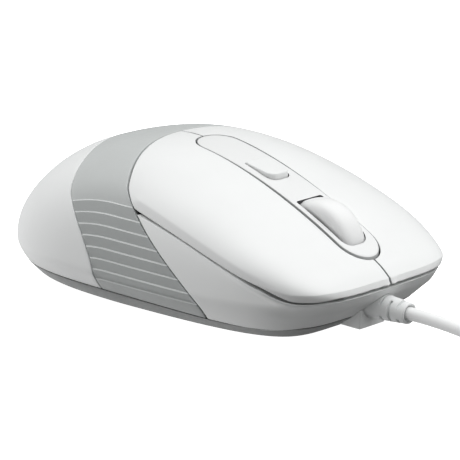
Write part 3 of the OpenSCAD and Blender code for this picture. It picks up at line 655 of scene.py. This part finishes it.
V, F = loft(along_y(spin([(max(r, 0.0005), h) for r, h in boot_profile], 72)))
boot = make("boot", V, F, BOOT, None)
SLOTS = [(51.4, 0), (51.4, 180), (53.8, 90), (53.8, 270), (56.1, 0), (56.1, 180)]
for y, a in SLOTS:
    # a slot is a slice of a ring, open through the wall over part of a turn
    half = math.radians(62)
    t = np.linspace(-half, half, 25)
    arc = [np.array([[rr * math.sin(q), rr * math.cos(q)] for q in t]) for rr in (2.05, 4.2)]
    out = np.concatenate([arc[0], arc[1][::-1]])
    c, s = math.cos(math.radians(a)), math.sin(math.radians(a))
    out = np.stack([out[:, 0] * c + out[:, 1] * s, -out[:, 0] * s + out[:, 1] * c], -1)
    V, F = loft([np.stack([out[:, 0], np.full(len(out), yy), EXIT_Z + out[:, 1]], -1) for yy in (y, y + 0.75)])
    boot = cut(boot, tool(V, F))
dress(boot, BOOT, "base", ("strain_relief",), 32)

# ---------------------------------------------------------------- plug
PX, PY, PZ = -44.0, 8.0, 4.0


def oval(y, a, b, n=2.0, seg=72, cx=PX, cz=PZ):
    t = np.linspace(0, 2 * math.pi, seg, endpoint=False)
    c, s = np.cos(t), np.sin(t)
    return np.stack([cx + a * np.sign(c) * np.abs(c) ** (2 / n), np.full(seg, PY + y), cz + b * np.sign(s) * np.abs(s) ** (2 / n)], -1)


plug_rings = [oval(50.0, 5.5, 2.6, 6), oval(50.0, 6.9, 3.3, 6), oval(50.12, 7.35, 3.6, 6), oval(50.5, 7.75, 3.85, 6), oval(51.3, 7.95, 3.97, 6), oval(53.0, 8.0, 4.0, 6)]
for k in range(6):
    y = 54.6 + 1.7 * k
    plug_rings += [oval(y, 8.0, 4.0, 6), oval(y + 0.22, 7.62, 3.96, 6), oval(y + 0.62, 7.62, 3.96, 6), oval(y + 0.84, 8.0, 4.0, 6)]
plug_rings += [oval(66.0, 8.0, 4.0, 6), oval(69.0, 7.7, 3.96, 5.5), oval(71.2, 6.9, 3.85, 5), oval(72.6, 5.6, 3.6, 4), oval(73.4, 4.4, 3.35, 3), oval(73.9, 3.7, 3.15, 2.4), oval(74.4, 3.3, 3.0, 2.1)]
for k in range(3):
    y = 75.0 + 1.45 * k
    r = 2.95 - 0.2 * k
    plug_rings += [oval(y, r, r), oval(y + 0.12, r - 0.42, r - 0.42), oval(y + 0.6, r - 0.45, r - 0.45), oval(y + 0.72, r - 0.08, r - 0.08)]
plug_rings += [oval(79.4, 2.25, 2.25), oval(79.85, 2.15, 2.15), oval(80.0, 1.95, 1.95), oval(80.0, 1.3, 1.3)]
V, F = loft(plug_rings)
plug = make("plug_body", V, F, BOOT, "base", ("usb_plug_body",), 40)


def tube_rect(y, hx, hz, r, n=8):
    o = round_rect(-hx, hx, -hz, hz, (r,) * 4, n)
    return np.stack([PX + o[:, 0], np.full(len(o), PY + y), PZ + o[:, 1]], -1)


V, F = loft([tube_rect(50.3, 6.0, 2.25, 0.55), tube_rect(38.25, 6.0, 2.25, 0.55), tube_rect(38.05, 5.93, 2.18, 0.5), tube_rect(38.0, 5.85, 2.1, 0.45),
             tube_rect(38.05, 5.75, 2.0, 0.38), tube_rect(38.3, 5.7, 1.95, 0.35), tube_rect(50.0, 5.7, 1.95, 0.35)])
plug_shell = make("plug_shell", V, F, STEEL, None)
for s in (-1, 1):
    plug_shell = cut(plug_shell, box_tool(PX + s * 2.6 - 1.1, PX + s * 2.6 + 1.1, 49.4, 51.6, 5.4, 7))
    plug_shell = cut(plug_shell, box_tool(PX + s * 2.6 - 1.1, PX + s * 2.6 + 1.1, 49.4, 51.6, 1, 2.6))
plug_shell = cut(plug_shell, box_tool(PX - 0.06, PX + 0.06, 45, 59, 1, 2.4))
dress(plug_shell, STEEL, "base", ("usb_plug_shell",), 35)

V, F = [], []


def add(v, f):
    n = len(V)
    V.extend(np.asarray(v).tolist())
    F.extend([[k + n for k in q] for q in f])


def slab(x0, x1, y0, y1, z0, z1, r=0.15):
    o = round_rect(x0 + r, x1 - r, y0 + r, y1 - r, (r,) * 4, 4)
    p = round_rect(x0, x1, y0, y1, (2 * r,) * 4, 4)
    return loft([np.stack([q[:, 0], q[:, 1], np.full(len(q), z)], -1) for q, z in ((o, z0), (p, z0 + r), (p, z1 - r), (o, z1))])


add(*slab(PX - 5.6, PX + 5.6, 47.0, 57.6, 2.1, 4.0, 0.18))
tongue = make("plug_tongue", V, F, PLUNGER, "base", ("usb_plug_tongue",), 35)
V, F = [], []
for k, (x, y0) in enumerate(((-3.5, 47.8), (-1.0, 48.8), (1.0, 48.8), (3.5, 47.8))):
    add(*slab(PX + x - 0.5, PX + x + 0.5, y0, 57.0, 3.9, 4.06, 0.05))
contacts = make("plug_contacts", V, F, GOLD, "base", (), 35)

# ---------------------------------------------------------------- tie
tie_rings = []
for x, d in ((-3.5, 0.16), (-3.34, 0.0), (3.34, 0.0), (3.5, 0.16)):
    o = round_rect(9.0 + d, 24.4 - d, 0.1 + d, 13.75 - d, (2.4,) * 4, 12)
    tie_rings.append(np.stack([np.full(len(o), COIL[0] + x), COIL[1] + o[:, 0], o[:, 1]], -1))
for x, d in ((3.5, 0.16), (3.34, 0.0), (-3.34, 0.0), (-3.5, 0.16)):
    o = round_rect(9.75 - d, 23.9 + d, 0.75 - d, 13.15 + d, (1.9,) * 4, 12)
    tie_rings.append(np.stack([np.full(len(o), COIL[0] + x), COIL[1] + o[:, 0], o[:, 1]], -1))
tie_rings.append(tie_rings[0])
V, F = loft(tie_rings, caps=False)
tie = make("tie", V, F, STRAP, "base", ("cord_tie",), 40)

# ---------------------------------------------------------------- grip band with ribs
RIBS = [25.95 - 2.6 * k for k in range(8)]
RIB_W, RIB_D = 0.24, 0.4


def soft_min(a, b, k):
    """The smaller of two heights, rounded where they cross."""
    m = np.minimum(a, b)
    return m - k * np.log(np.exp(-(a - m) / k) + np.exp(-(b - m) / k)) + k * np.log(1 + np.exp(-np.abs(0 * m + 8.0)))


def sag(P):
    """How far the rib lines droop towards the tail."""
    return 0.0098 * np.maximum(0, -5 - P[..., 1]) ** 2 * clamp((P[..., 2] - 4.5) / 6)


def band_piece():
    s = np.linspace(0, 1, 41)
    v = np.concatenate([np.linspace(0, 0.9, 260), np.linspace(0.9, 1, 160)[1:], np.linspace(1, 2, 120)[1:]])
    a, b = band_rear(v) + COVER, band_front(v)
    P = skin(a[None] + (b - a)[None] * s[:, None], np.broadcast_to(v, (len(s), len(v))))
    levels = [27.4, 27.0, 26.6]
    for z in RIBS:
        levels += [z + 0.3, z + 0.08, z, z - 0.04, z - RIB_W * 0.5, z - RIB_W + 0.03, z - RIB_W, z - RIB_W - 0.06, z - RIB_W - 0.3, z - 1.0, z - 1.7]
    levels = np.array(sorted(set(np.round([q for q in levels if q > 4.1] + [4.4, 4.1, 3.8, 3.66, 3.58, 3.52, 3.5], 4)), reverse=True))
    levels = levels[levels <= 27.4]
    rows = []
    for i in range(len(s)):
        L = P[i]
        z = L[:, 2] + sag(L)
        k = int(np.argmax(z < 27.4))
        S = np.concatenate([[0], np.cumsum(np.linalg.norm(np.diff(L[:k + 1], axis=0), axis=1))])
        f = (z[k - 1] - 27.4) / (z[k - 1] - z[k])
        end = S[k - 1] + f * (S[k] - S[k - 1])
        q = np.linspace(0, end, 25)[:-1]
        top = np.stack([np.interp(q, S, L[:k + 1, c]) for c in range(3)], -1)
        side = np.stack([np.interp(-levels, -z, L[:, c]) for c in range(3)], -1)
        rows.append(np.concatenate([top, side]))
    half = np.array(rows)
    P = np.concatenate([(half * [-1, 1, 1])[:, :0:-1], half], 1)
    P = resample(P, 26, 0.22, 0.22, 0)
    d0, d1 = arcs(P, 0)
    e0, e1 = arcs(P, 1)
    drop = np.maximum(np.maximum(fillet(d0, 0.22), fillet(d1, 0.22)), np.maximum(fillet(e0, 0.15), fillet(e1, 0.15)))
    z = P[..., 2] + sag(P)
    # lapped ribs: the face leans in down to each line, and a narrow ledge steps out below it
    top_line, pitch = RIBS[0], RIBS[0] - RIBS[1]
    knots_z, knots_d = [29.2, top_line], [0.0, RIB_D * 0.7]
    for zr in RIBS:
        knots_z += [zr - RIB_W]
        knots_d += [0.0]
        if zr != RIBS[-1]:
            knots_z += [zr - pitch]
            knots_d += [RIB_D]
    drop = drop + np.interp(-z, -np.array(knots_z), knots_d) * smooth((np.minimum(d0, d1) + 0.15) / 0.9)
    # soft shoulder over the ribs, fuller towards the key
    rise = np.maximum(z - top_line, 0)
    share = 0.45 + 0.55 * (d0 / np.maximum(d0 + d1, 1e-9))
    drop = drop - share * soft_min(0.2 * rise, 0.34 * np.maximum(1 - (rise - 2.0) / 8, 0) ** 1.5, 0.12)
    R, C = P.shape[:2]
    ob = shell("band", P.reshape(-1, 3), grid_quads(R, C), drop.ravel(), 1.6, GREY, "base", ("grip_band",), sharp=24)
    # painted shade and painted highlight: the leaning faces of the ribs get a darker copy of the grip grey and the
    # ledges a lighter one, for how light falls on them
    ob.data.materials.append(RIB_FACE_SHADE)
    ob.data.materials.append(LEDGE_HIGHLIGHT)
    for f in ob.data.polygons:
        c = np.array(f.center) / MM
        h = float(c[2] + sag(c))
        if h < top_line + 0.02 and abs(c[0]) > 8:
            f.material_index = 2 if any(zr - RIB_W - 0.02 < h < zr + 0.02 for zr in RIBS) else 1
    return ob


band = band_piece()


# ---------------------------------------------------------------- rear cover
def cover_piece():
    v = np.concatenate([np.linspace(0, 0.85, 90), np.linspace(0.85, 1, 90)[1:], np.linspace(1, 2, 60)[1:]])
    v = np.concatenate([-v[:0:-1], v])
    w = np.linspace(0, 1, 240)
    a = band_rear(np.abs(v)) - COVER
    ph = a[None] + (-90 - a)[None] * w[:, None] ** 0.9
    P = skin(ph, np.broadcast_to(np.abs(v), ph.shape)) * np.stack([np.sign(v) + (v == 0), np.ones_like(v), np.ones_like(v)], -1)[None]
    P = resample(P, 110, 0.15, 0.15, 1)
    P = resample(P, 44, 0.22, 0.0, 0)
    P[-1, :, 0] = 0
    d0, _ = arcs(P, 0)
    e0, e1 = arcs(P, 1)
    drop = np.maximum(fillet(d0, 0.22), np.maximum(fillet(e0, 0.15), fillet(e1, 0.15)))
    # the two halves of the tail line share their points
    C = P.shape[1]
    h = C // 2
    P[-1, :h] = P[-1, ::-1][:h]
    R = P.shape[0]
    return shell("rear_cover_skin", P.reshape(-1, 3), grid_quads(R, C), drop.ravel(), 1.6, PALE, "base", ("rear_cover",), sharp=30)


cover = cover_piece()


# ---------------------------------------------------------------- side frame
def N_side(line):
    """Level outward normals of a line that runs round the front from left to right."""
    t = np.gradient(line, axis=0)
    n = np.stack([-t[:, 1], t[:, 0], 0 * t[:, 0]], -1)
    n /= np.maximum(np.linalg.norm(n, axis=1, keepdims=True), 1e-9)
    return n if float(np.einsum("ij,ij->i", n, line - np.array([0, 0, 0])).mean()) > 0 else -n


def frame_piece():
    w = np.linspace(0, 1, 220) ** 0.8
    f = np.concatenate([1 - (1 - np.linspace(0, 1, 60)) ** 2, 1 + np.linspace(0, 1, 60)[1:]])
    c0 = FRAME_C
    pt = c0 + (90 - c0) * w
    vt = frame_u(pt)
    v0 = frame_u(np.array(c0))
    fu, fl = np.minimum(f, 1), np.maximum(f - 1, 0)
    vv = np.where(f[:, None] <= 1, vt[None] + (1 - vt)[None] * fu[:, None], 1 + fl[:, None] * part_s(pt)[None])
    vb = np.where(f <= 1, v0 + (1 - v0) * fu, 1 + fl)
    ph = pt[None] + (band_front(vb) + EDGE - c0)[:, None] * (1 - w)[None]
    half = skin(np.minimum(ph, 90), vv)
    half[:, -1, 0] = 0
    P = np.concatenate([half * [-1, 1, 1], half[:, -2::-1]], 1)
    P = resample(P, 150, 0.2, 0.2, 1)
    # rows: a narrow set-back strip under the key, its ledge, then the open face
    turn = np.degrees(np.arcsin(clamp(P[0, :, 1] / L2)))
    strip = np.interp(turn, [0, 28, 32, 37, 42, 50, 55, 60, 66, 72, 78, 90], [0.3, 0.3, 0.5, 0.95, 0.95, 0.8, 0.6, 0.4, 0.3, 0.3, 0.3, 0.3])
    set_back = 0.09 * smooth((turn - 28) / 8) * smooth((60 - turn) / 10)
    S = np.concatenate([np.zeros((1, P.shape[1])), np.cumsum(np.linalg.norm(np.diff(P, axis=0), axis=2), 0)])
    cols = []
    for k in range(P.shape[1]):
        w, T = strip[k], S[-1, k]
        at = np.concatenate([[0, 0.02, 0.05, 0.1, 0.45 * w, w - 0.03, w + 0.03, w + 0.1, w + 0.25], np.linspace(w + 0.5, T - 0.15, 24), [T - 0.09, T - 0.04, T - 0.01, T]])
        cols.append(np.stack([np.interp(at, S[:, k], P[:, k, c]) for c in range(3)], -1))
    P = np.stack(cols, 1)
    _, d1 = arcs(P, 0)
    e0, e1 = arcs(P, 1)
    # distance of every point from the top edge
    flat, line = P.reshape(-1, 3), P[0]
    fine = np.stack([np.interp(np.linspace(0, 1, 1500), np.linspace(0, 1, len(line)), line[:, c]) for c in range(3)], -1)
    near = np.concatenate([np.linalg.norm(flat[k:k + 400, None] - fine[None], axis=2).argmin(1) for k in range(0, len(flat), 400)])
    d0 = np.linalg.norm(flat - fine[near], axis=1).reshape(P.shape[:2])
    turn = np.interp(near / 1499.0, np.linspace(0, 1, len(line)), turn).reshape(P.shape[:2])
    level = N_side(fine)[near]
    # the top is drawn in under the key round the nose
    inset = NOSE_IN * smooth((turn - 37) / 25) * np.maximum(1 - d0 / 4.5, 0) ** 1.3
    P = P - level.reshape(P.shape) * inset[..., None]
    drop = np.maximum(np.maximum(fillet(d0, 0.1), fillet(d1, 0.15)), np.maximum(fillet(e0, 0.2), fillet(e1, 0.2)))
    drop = drop + set_back[None] * clamp((strip[None] + 0.03 - d0) / 0.06)
    R, C = P.shape[:2]

    def inner(Q, N, first):
        # thick at the top, where it closes the gap under the key from sight
        thick = 1.6 + 0.8 * clamp((2.0 - deep[first]) / 0.4)
        return Q - level[first] * thick[:, None]

    deep = d0.ravel()
    ob = shell("frame_skin", P.reshape(-1, 3), grid_quads(R, C), drop.ravel(), 1.6, WHITE, None, (), inner=inner, sharp=30)
    V, F = loft(along_y(spin([(3.12, 36), (3.12, 60)], 96)))
    ob = cut(ob, tool(V, F))
    ob = cut(ob, box_tool(-4.4, 4.4, 36, 52, 2, 6.05))
    return dress(ob, WHITE, "base", ("side_frame",), 30)


frame_skin = frame_piece()


# ---------------------------------------------------------------- key plates
def key_lines():
    sx, h = KEY_SEAM / 2, HOLE
    a0 = math.degrees(math.asin(sx / h))
    c, uc, r0, f0 = KEY_C, float(key_u(np.array(KEY_C))), CON_REAR, CON_FRONT
    inn, out, lip = [], [], []

    def rim(u):
        p = up(band_front(u) + EDGE, np.asarray(u, float))
        return [max(float(p[0]), sx), float(p[1])]

    def edge(ph):
        p = up(ph, key_u(np.array(ph)))
        return [max(float(p[0]), sx), float(p[1])]

    for t in np.linspace(0, 1, 16, endpoint=False):
        inn.append([sx, r0 - 3.6 * (1 - t)]); out.append(rim(0.09 * t)); lip.append(0)
    for t in np.linspace(0, 1, 90, endpoint=False):
        a = math.radians(a0 + (90 - a0) * t)
        inn.append([h * math.sin(a), r0 + h - h * math.cos(a)]); out.append(rim(0.09 + (uc - 0.09) * t)); lip.append(0)
    for t in np.linspace(0, 1, 120, endpoint=False):
        inn.append([h, r0 + h + (f0 - r0 - 2 * h) * t]); out.append(edge(c + (54 - c) * t)); lip.append(1)
    for t in np.linspace(0, 1, 90, endpoint=False):
        a = math.radians(90 + (90 - a0) * t)
        inn.append([h * math.sin(a), f0 - h - h * math.cos(a)]); out.append(edge(54 + 32 * t)); lip.append(1)
    for t in np.linspace(0, 1, 16):
        inn.append([sx, f0 + 2 * t]); out.append(edge(86 + 4 * t)); lip.append(1)
    return np.array(inn), np.array(out), np.array(lip)


def is_rear(P, lip):
    """True on the rows whose outer end is the edge beside the band."""
    return np.repeat((np.interp(np.linspace(0, 1, P.shape[0]), np.linspace(0, 1, len(lip)), lip) < 0.5)[:, None], P.shape[1], 1)


def hole_reach(x, y):
    """Distance from the middle line of the hole for the console."""
    return math.hypot(x, max(CON_REAR + HOLE - y, y - CON_FRONT + HOLE, 0))


def key_piece(name, node, side):
    inn, out, lip = key_lines()
    t = np.concatenate([np.linspace(0, 0.8, 120), 1 - 0.2 * (1 - np.linspace(0, 1, 140)[1:]) ** 2])
    xy = inn[:, None] + (out - inn)[:, None] * t[None, :, None]
    P = np.concatenate([xy, ztop(xy[..., 0], xy[..., 1])[..., None]], -1)
    P = resample(P, 44, 0.16, 0.2, 1, 5.2)
    P = resample(P, 120, 0.16, 0.16, 0)
    d0, d1 = arcs(P, 0)
    e0, e1 = arcs(P, 1)
    drop = np.maximum(np.maximum(fillet(d0, 0.16), fillet(d1, 0.16)), np.maximum(fillet(e0, 0.16), fillet(e1, 0.2)))
    # shoulder: a narrow facet along the lower edge, and the plate swells above it
    ph = np.linspace(KEY_C, 90, 500)
    line = up(ph, key_u(ph))
    flatP = P.reshape(-1, 3)
    near = np.concatenate([np.linalg.norm(flatP[k:k + 500, None] - line[None], axis=2).argmin(1) for k in range(0, len(flatP), 500)])
    d = np.linalg.norm(flatP - line[near], axis=1)
    width = 2.1 - 0.4 * clamp((ph[near] - KEY_C) / 40)
    lean = 0.38 - 0.36 * smooth((ph[near] - 36) / 20)
    swell = soft_min(lean * d, lean * width * np.maximum(1 - (d - width) / 10, 0) ** 1.5, 0.05).reshape(P.shape[:2])
    # round the nose the edge is a narrow face that leans in below
    face = 1.9 * smooth((ph[near] - 38) / 24)
    tuck = KEY_TUCK * np.maximum(face - d, 0)
    P = P - N_side(line)[near].reshape(P.shape) * tuck.reshape(P.shape[:2])[..., None]
    drop = np.maximum(drop, fillet(d, 0.2).reshape(P.shape[:2]))
    swell = swell * (0.6 + 0.4 * clamp(np.where(is_rear(P, lip), e1, 9.0) / 4))
    drop = drop - swell
    R, C = P.shape[:2]
    edge_z = np.repeat(P[:, -1:, 2], C, 1)
    is_lip = np.repeat((np.interp(np.linspace(0, 1, R), np.linspace(0, 1, len(lip)), lip) > 0.5)[:, None], C, 1)
    tt = e0 / np.maximum(e0 + e1, 1e-9)
    P = P * [side, 1, 1]
    flat = P.reshape(-1, 3)
    ez, il, tf = edge_z.ravel(), is_lip.ravel(), tt.ravel()

    def inner(Q, N, first):
        b = clamp(tf[first] / 0.4)[:, None]
        D = N * b + np.array([0, 0, 1.0]) * (1 - b)
        last = (tf[first] > 0.9999) & il[first]
        D[last, 2] = 0
        D /= np.maximum(np.linalg.norm(D, axis=1, keepdims=True), 1e-9)
        D[np.abs(Q[:, 0]) < KEY_SEAM, 0] = 0
        I = Q - D * 1.5
        I[:, 2] = np.where(il[first], np.maximum(I[:, 2], ez[first] + 0.02), I[:, 2])
        return I

    quads = grid_quads(R, C)
    if side < 0:
        quads = quads[:, ::-1]
    ob = shell(name, flat, quads, drop.ravel(), 1.5, WHITE, node, (node,), inner=inner, sharp=30)
    # painted shade: the walls at the seam between the keys and round the console's hole get the darker gap grey
    ob.data.materials.append(SHADE)
    for f in ob.data.polygons:
        x, y, _ = f.center / MM
        if abs(f.normal.z) < 0.55 and (abs(x) < 0.4 or hole_reach(x, y) < HOLE + 0.1):
            f.material_index = 1
    return ob


# the sheet's faces point outward when their normals point up
right_key = key_piece("right_key", "right_button", 1)
left_key = key_piece("left_key", "left_button", -1)


# ---------------------------------------------------------------- console
def console_piece():
    h = HOLE - CON_GAP
    y0, y1 = CON_REAR + CON_GAP + h, CON_FRONT - CON_GAP - h
    ang = np.concatenate([np.zeros(70), np.linspace(0, math.pi, 41)[1:-1], np.full(70, math.pi), np.linspace(math.pi, 2 * math.pi, 41)[1:-1]])
    yc = np.concatenate([np.linspace(y0, y1, 70), np.full(39, y1), np.linspace(y1, y0, 70), np.full(39, y0)])
    r = 0.32
    rho = [h - r * k for k in (0, 0.05, 0.17, 0.36, 0.62, 1.0)] + list(np.linspace(h - r, 0, 9)[1:])
    rings = []
    for q in rho:
        x, y = q * np.cos(ang), yc + q * np.sin(ang)
        d = h - q
        rings.append(np.stack([x, y, ztop(x, y) + lift(y) - fillet(np.array(d), r)], -1))
    x, y = h * np.cos(ang), yc + h * np.sin(ang)
    zb = ztop(x, y) + lift(y)
    under = [np.stack([x, y, zb - 2.6], -1)]
    for q in np.linspace(h, 0, 5)[1:]:
        x, y = q * np.cos(ang), yc + q * np.sin(ang)
        under.append(np.stack([x, y, ztop(x, y) + lift(y) - 2.6], -1))
    order = under[::-1] + rings
    V, F = loft(order, caps=False)
    ob = make("console", V, F, CONSOLE, None)
    # slot of the wheel: square at the rear, rounded at the front
    o = round_rect(-4.1, 4.3, 27.85, 43.55, (0.5, 0.5, 2.4, 3.8), 14)
    V, F = loft([np.stack([o[:, 0], o[:, 1], np.full(len(o), z)], -1) for z in (5.0, 45.0)])
    ob = cut(ob, tool(V, F))
    o = round_rect(-RATE_HALF - 0.22, RATE_HALF + 0.22, RATE_REAR - 0.07, RATE_FRONT + 0.28, (0.45, 0.45, 2.3, 2.3), 14)
    V, F = loft([np.stack([o[:, 0], o[:, 1], np.full(len(o), z)], -1) for z in (20.0, 45.0)])
    ob = cut(ob, tool(V, F))
    dress(ob, CONSOLE, "base", ("center_console",), 34)
    # painted shade: the walls of both openings get the black plastic, and the outer wall by the gap gets the darker gap
    # grey, standing in for the dark inside
    ob.data.materials.append(BLACK_AND_PAINTED_SHADE)
    ob.data.materials.append(SHADE)
    for f in ob.data.polygons:
        x, y, _ = f.center / MM
        if abs(f.normal.z) < 0.5 and abs(x) < 4.6 and (27.6 < y < 44.2 or RATE_REAR + 0.3 < y < RATE_FRONT + 0.6):
            f.material_index = 1
        elif abs(f.normal.z) < 0.5 and hole_reach(x, y) > HOLE - CON_GAP - 0.3:
            f.material_index = 2
    return ob


console = console_piece()


# ---------------------------------------------------------------- rate button
def rate_piece():
    def rise(y):
        t = clamp((y - RATE_REAR) / (RATE_FRONT - RATE_REAR))
        return lift(y) + 0.5 + 0.9 * t ** 1.2

    def outline(d):
        return round_rect(-RATE_HALF + d, RATE_HALF - d, RATE_REAR + d, RATE_FRONT - d, (max(0.8 - d, 0.05),) * 2 + (max(2.1 - d, 0.1),) * 2, 14)

    r = 0.3
    rings = []
    o = outline(0)
    rings.append(np.stack([o[:, 0], o[:, 1], np.full(len(o), 30.05)], -1))
    for d in (0, 0.02, 0.06, 0.12, 0.2, r, 0.7, 1.2, 1.8, 2.4, 2.9):
        o = outline(d)
        z = ztop(0 * o[:, 0], o[:, 1]) + rise(o[:, 1]) - fillet(np.array(d), r) - 0.012 * o[:, 0] ** 2
        rings.append(np.stack([o[:, 0], o[:, 1], z], -1))
    V, F = loft(rings)
    return make("rate_key", V, F, WHITE, "rate_button", ("rate_button",), 34)


rate_key = rate_piece()


# ---------------------------------------------------------------- wheel
def wheel_piece():
    w = 3.75
    t = np.sin(np.linspace(-1, 1, 61) * math.pi / 2)
    crown_line = [(WHEEL_R - 2.8 * (1 - (1 - abs(q) ** 2.7) ** (1 / 2.7)), q * w) for q in t]
    side = [(7.1, w), (6.9, w - 0.06), (6.8, w - 0.2), (6.8, 3.1), (6.9, 3.02), (8.5, 3.02), (8.6, 2.9)]
    prof = [(r, -z) for r, z in side[::-1]] + crown_line + side
    rings = [np.stack([q[:, 2], WHEEL_Y + q[:, 0], WHEEL_Z + q[:, 1]], -1) for q in spin(prof, 192)]
    rings.append(rings[0])
    V, F = loft(rings, caps=False)
    return make("tyre", V, F, TYRE, "wheel", ("wheel_tyre",), 40)


tyre = wheel_piece()


# ---------------------------------------------------------------- base
def ring(q, ins, z, n=288):
    p = (q[0], q[1] - ins, q[2] - ins, q[3] - ins, q[4], q[5], q[6])
    a = np.linspace(0, 2 * math.pi, n, endpoint=False) - math.pi / 2
    y = (p[2] - p[1]) / 2 + (p[2] + p[1]) / 2 * np.sin(a)
    w = planw(y, p)
    return np.stack([np.where(np.cos(a) < 0, -1, 1) * np.where(np.abs(np.cos(a)) < 1e-6, 0, w), y, np.full(n, z)], -1)


def even(r):
    """The same closed ring with points at equal steps."""
    q = np.concatenate([r, r[:1]])
    s = np.concatenate([[0], np.cumsum(np.linalg.norm(np.diff(q, axis=0), axis=1))])
    t = np.linspace(0, s[-1], len(r), endpoint=False)
    return np.stack([np.interp(t, s, q[:, c]) for c in range(3)], -1)


def base_piece():
    def between(t, ins):
        A, B = ring(FOOT, ins, 0.6, 1440), ring(PART, ins, 3.3, 1440)
        ph = np.linspace(0, 360, 1440, endpoint=False) - 90
        ph = np.where(ph > 90, 180 - ph, ph)
        top = low(ph, part_s(ph))
        w = smooth((ph - 30) / 10)[:, None]
        n = np.stack([B[:, 0], B[:, 1] - 10], -1)
        n = n / np.maximum(np.linalg.norm(n, axis=1, keepdims=True), 1e-9) * ins
        top = np.stack([np.sign(B[:, 0]) * top[:, 0] - n[:, 0], top[:, 1] - n[:, 1], top[:, 2] - 0.2], -1)
        B = B * (1 - w) + top * w
        q = even(A * (1 - t) + B * t)[::5]
        return q

    rings = [between(0, 0.45), between(0.02, 0.2), between(0.07, 0.06), between(0.16, 0), between(0.5, 0), between(0.9, 0), between(0.96, 0.06), between(1.0, 0.2), between(1.0, 2.2)]
    low_in = even(ring(FOOT, 2.2, 2.4, 1440))[::5]
    rings.append(low_in)
    V, F = loft(rings)
    ob = make("base_tray", V, F, BASE, None)
    # block under the cable
    o = round_rect(-4.3, 4.3, 38.8, 47.4, (0.3, 0.3, 0.35, 0.35), 6)
    p = round_rect(-4.12, 4.12, 38.8, 47.22, (0.2, 0.2, 0.2, 0.2), 6)
    V, F = loft([np.stack([q[:, 0], q[:, 1], np.full(len(q), z)], -1) for q, z in ((p, 1.7), (o, 1.88), (o, 5.85), (p, 6.0))])
    ob = cut(ob, tool(V, F), "UNION")
    V, F = loft(along_y(spin([(3.1, 36), (3.1, 60)], 96)))
    ob = cut(ob, tool(V, F))
    # underside: sensor window with a bevel, screw recesses, shallow plate recess
    o = round_rect(-4, 4, -8.5, 0.5, (1.2,) * 4, 8)
    p = round_rect(-5.2, 5.2, -9.7, 1.7, (2.0,) * 4, 8)
    V, F = loft([np.stack([q[:, 0], q[:, 1], np.full(len(q), z)], -1) for q, z in ((p, 0.3), (p, 0.6), (o, 1.3), (o, 4.0))])
    ob = cut(ob, tool(V, F))
    for x in (-16.8, 16.8):
        rings = spin([(2.5, 0.0), (2.5, 1.5), (1.25, 1.5), (1.25, 4.0)], 48)
        V, F = loft([q + [x, -23.2, 0] for q in rings])
        ob = cut(ob, tool(V, F))
    o = round_rect(-13, 13, -31, -17, (1.5,) * 4, 8)
    V, F = loft([np.stack([o[:, 0], o[:, 1], np.full(len(o), z)], -1) for z in (0.2, 0.85)])
    ob = cut(ob, tool(V, F))
    dress(ob, BASE, "base", ("bottom_case",), 30)
    ob.data.materials.append(WHITE)
    for f in ob.data.polygons:
        x, y, z = f.center / MM
        if y > 42 and abs(x) < 4.5:
            f.material_index = 1
    return ob


base_tray = base_piece()

# ---------------------------------------------------------------- floor and light
floor_me = bpy.data.meshes.new("floor")
g = np.linspace(-3, 3, 13)
floor_v = [(x, y, 0.0) for y in g for x in g]
floor_me.from_pydata(floor_v, [], grid_quads(13, 13).tolist())
floor = bpy.data.objects.new("floor", floor_me)
scene.collection.objects.link(floor)
fm, fnt, fb = new_material("floor_paper")
fco = fnt.nodes.new("ShaderNodeTexCoord").outputs["Object"]
fn = noise(fnt, fco, 300.0, 3.0)
link(fnt, two_tone(fnt, span(fnt, fn.outputs["Fac"], 0, 1), (0.93, 0.93, 0.93), (0.95, 0.95, 0.95)), fb.inputs["Base Color"])
link(fnt, span(fnt, fn.outputs["Fac"], 0.85, 0.95), fb.inputs["Roughness"])
fb.inputs["Emission Color"].default_value = (1, 1, 1, 1)
fb.inputs["Emission Strength"].default_value = 1.0
fb.inputs["Specular IOR Level"].default_value = 0.1
floor_me.materials.append(fm)
floor.visible_diffuse = False
floor.visible_glossy = False
floor.visible_shadow = False


# broad soft lights all round, as (azimuth from the tail towards the right side, height, strength)
GLOWS = [(0, 90, 1.66), (240, 48, 1.0), (180, 48, 0.5), (0, 48, 0.26), (45, 8, 1.02), (180, 8, 0.3), (225, 8, 0.45), (0, -32, 1.4), (60, -32, 0.25)]
world = bpy.data.worlds.new("studio")
scene.world = world
world.use_nodes = True
wt = world.node_tree
bg = wt.nodes["Background"]
toward = wt.nodes.new("ShaderNodeTexCoord").outputs["Generated"]


def step(kind, a, b):
    n = wt.nodes.new("ShaderNodeMath")
    n.operation = kind
    for k, q in enumerate((a, b)):
        if isinstance(q, (int, float)):
            n.inputs[k].default_value = q
        else:
            wt.links.new(q, n.inputs[k])
    return n.outputs[0]


total = None
for az, el, strength in GLOWS:
    a, e = math.radians(az), math.radians(el)
    dot = wt.nodes.new("ShaderNodeVectorMath")
    dot.operation = "DOT_PRODUCT"
    wt.links.new(toward, dot.inputs[0])
    dot.inputs[1].default_value = (math.sin(a) * math.cos(e), -math.cos(a) * math.cos(e), math.sin(e))
    part = step("MULTIPLY", step("POWER", step("MAXIMUM", dot.outputs["Value"], 0.0), 4.0), strength)
    total = part if total is None else step("ADD", total, part)
wt.links.new(total, bg.inputs["Strength"])
bg.inputs["Color"].default_value = (1, 1, 1, 1)
scene.view_settings.view_transform = "Standard"
scene.view_settings.look = "None"
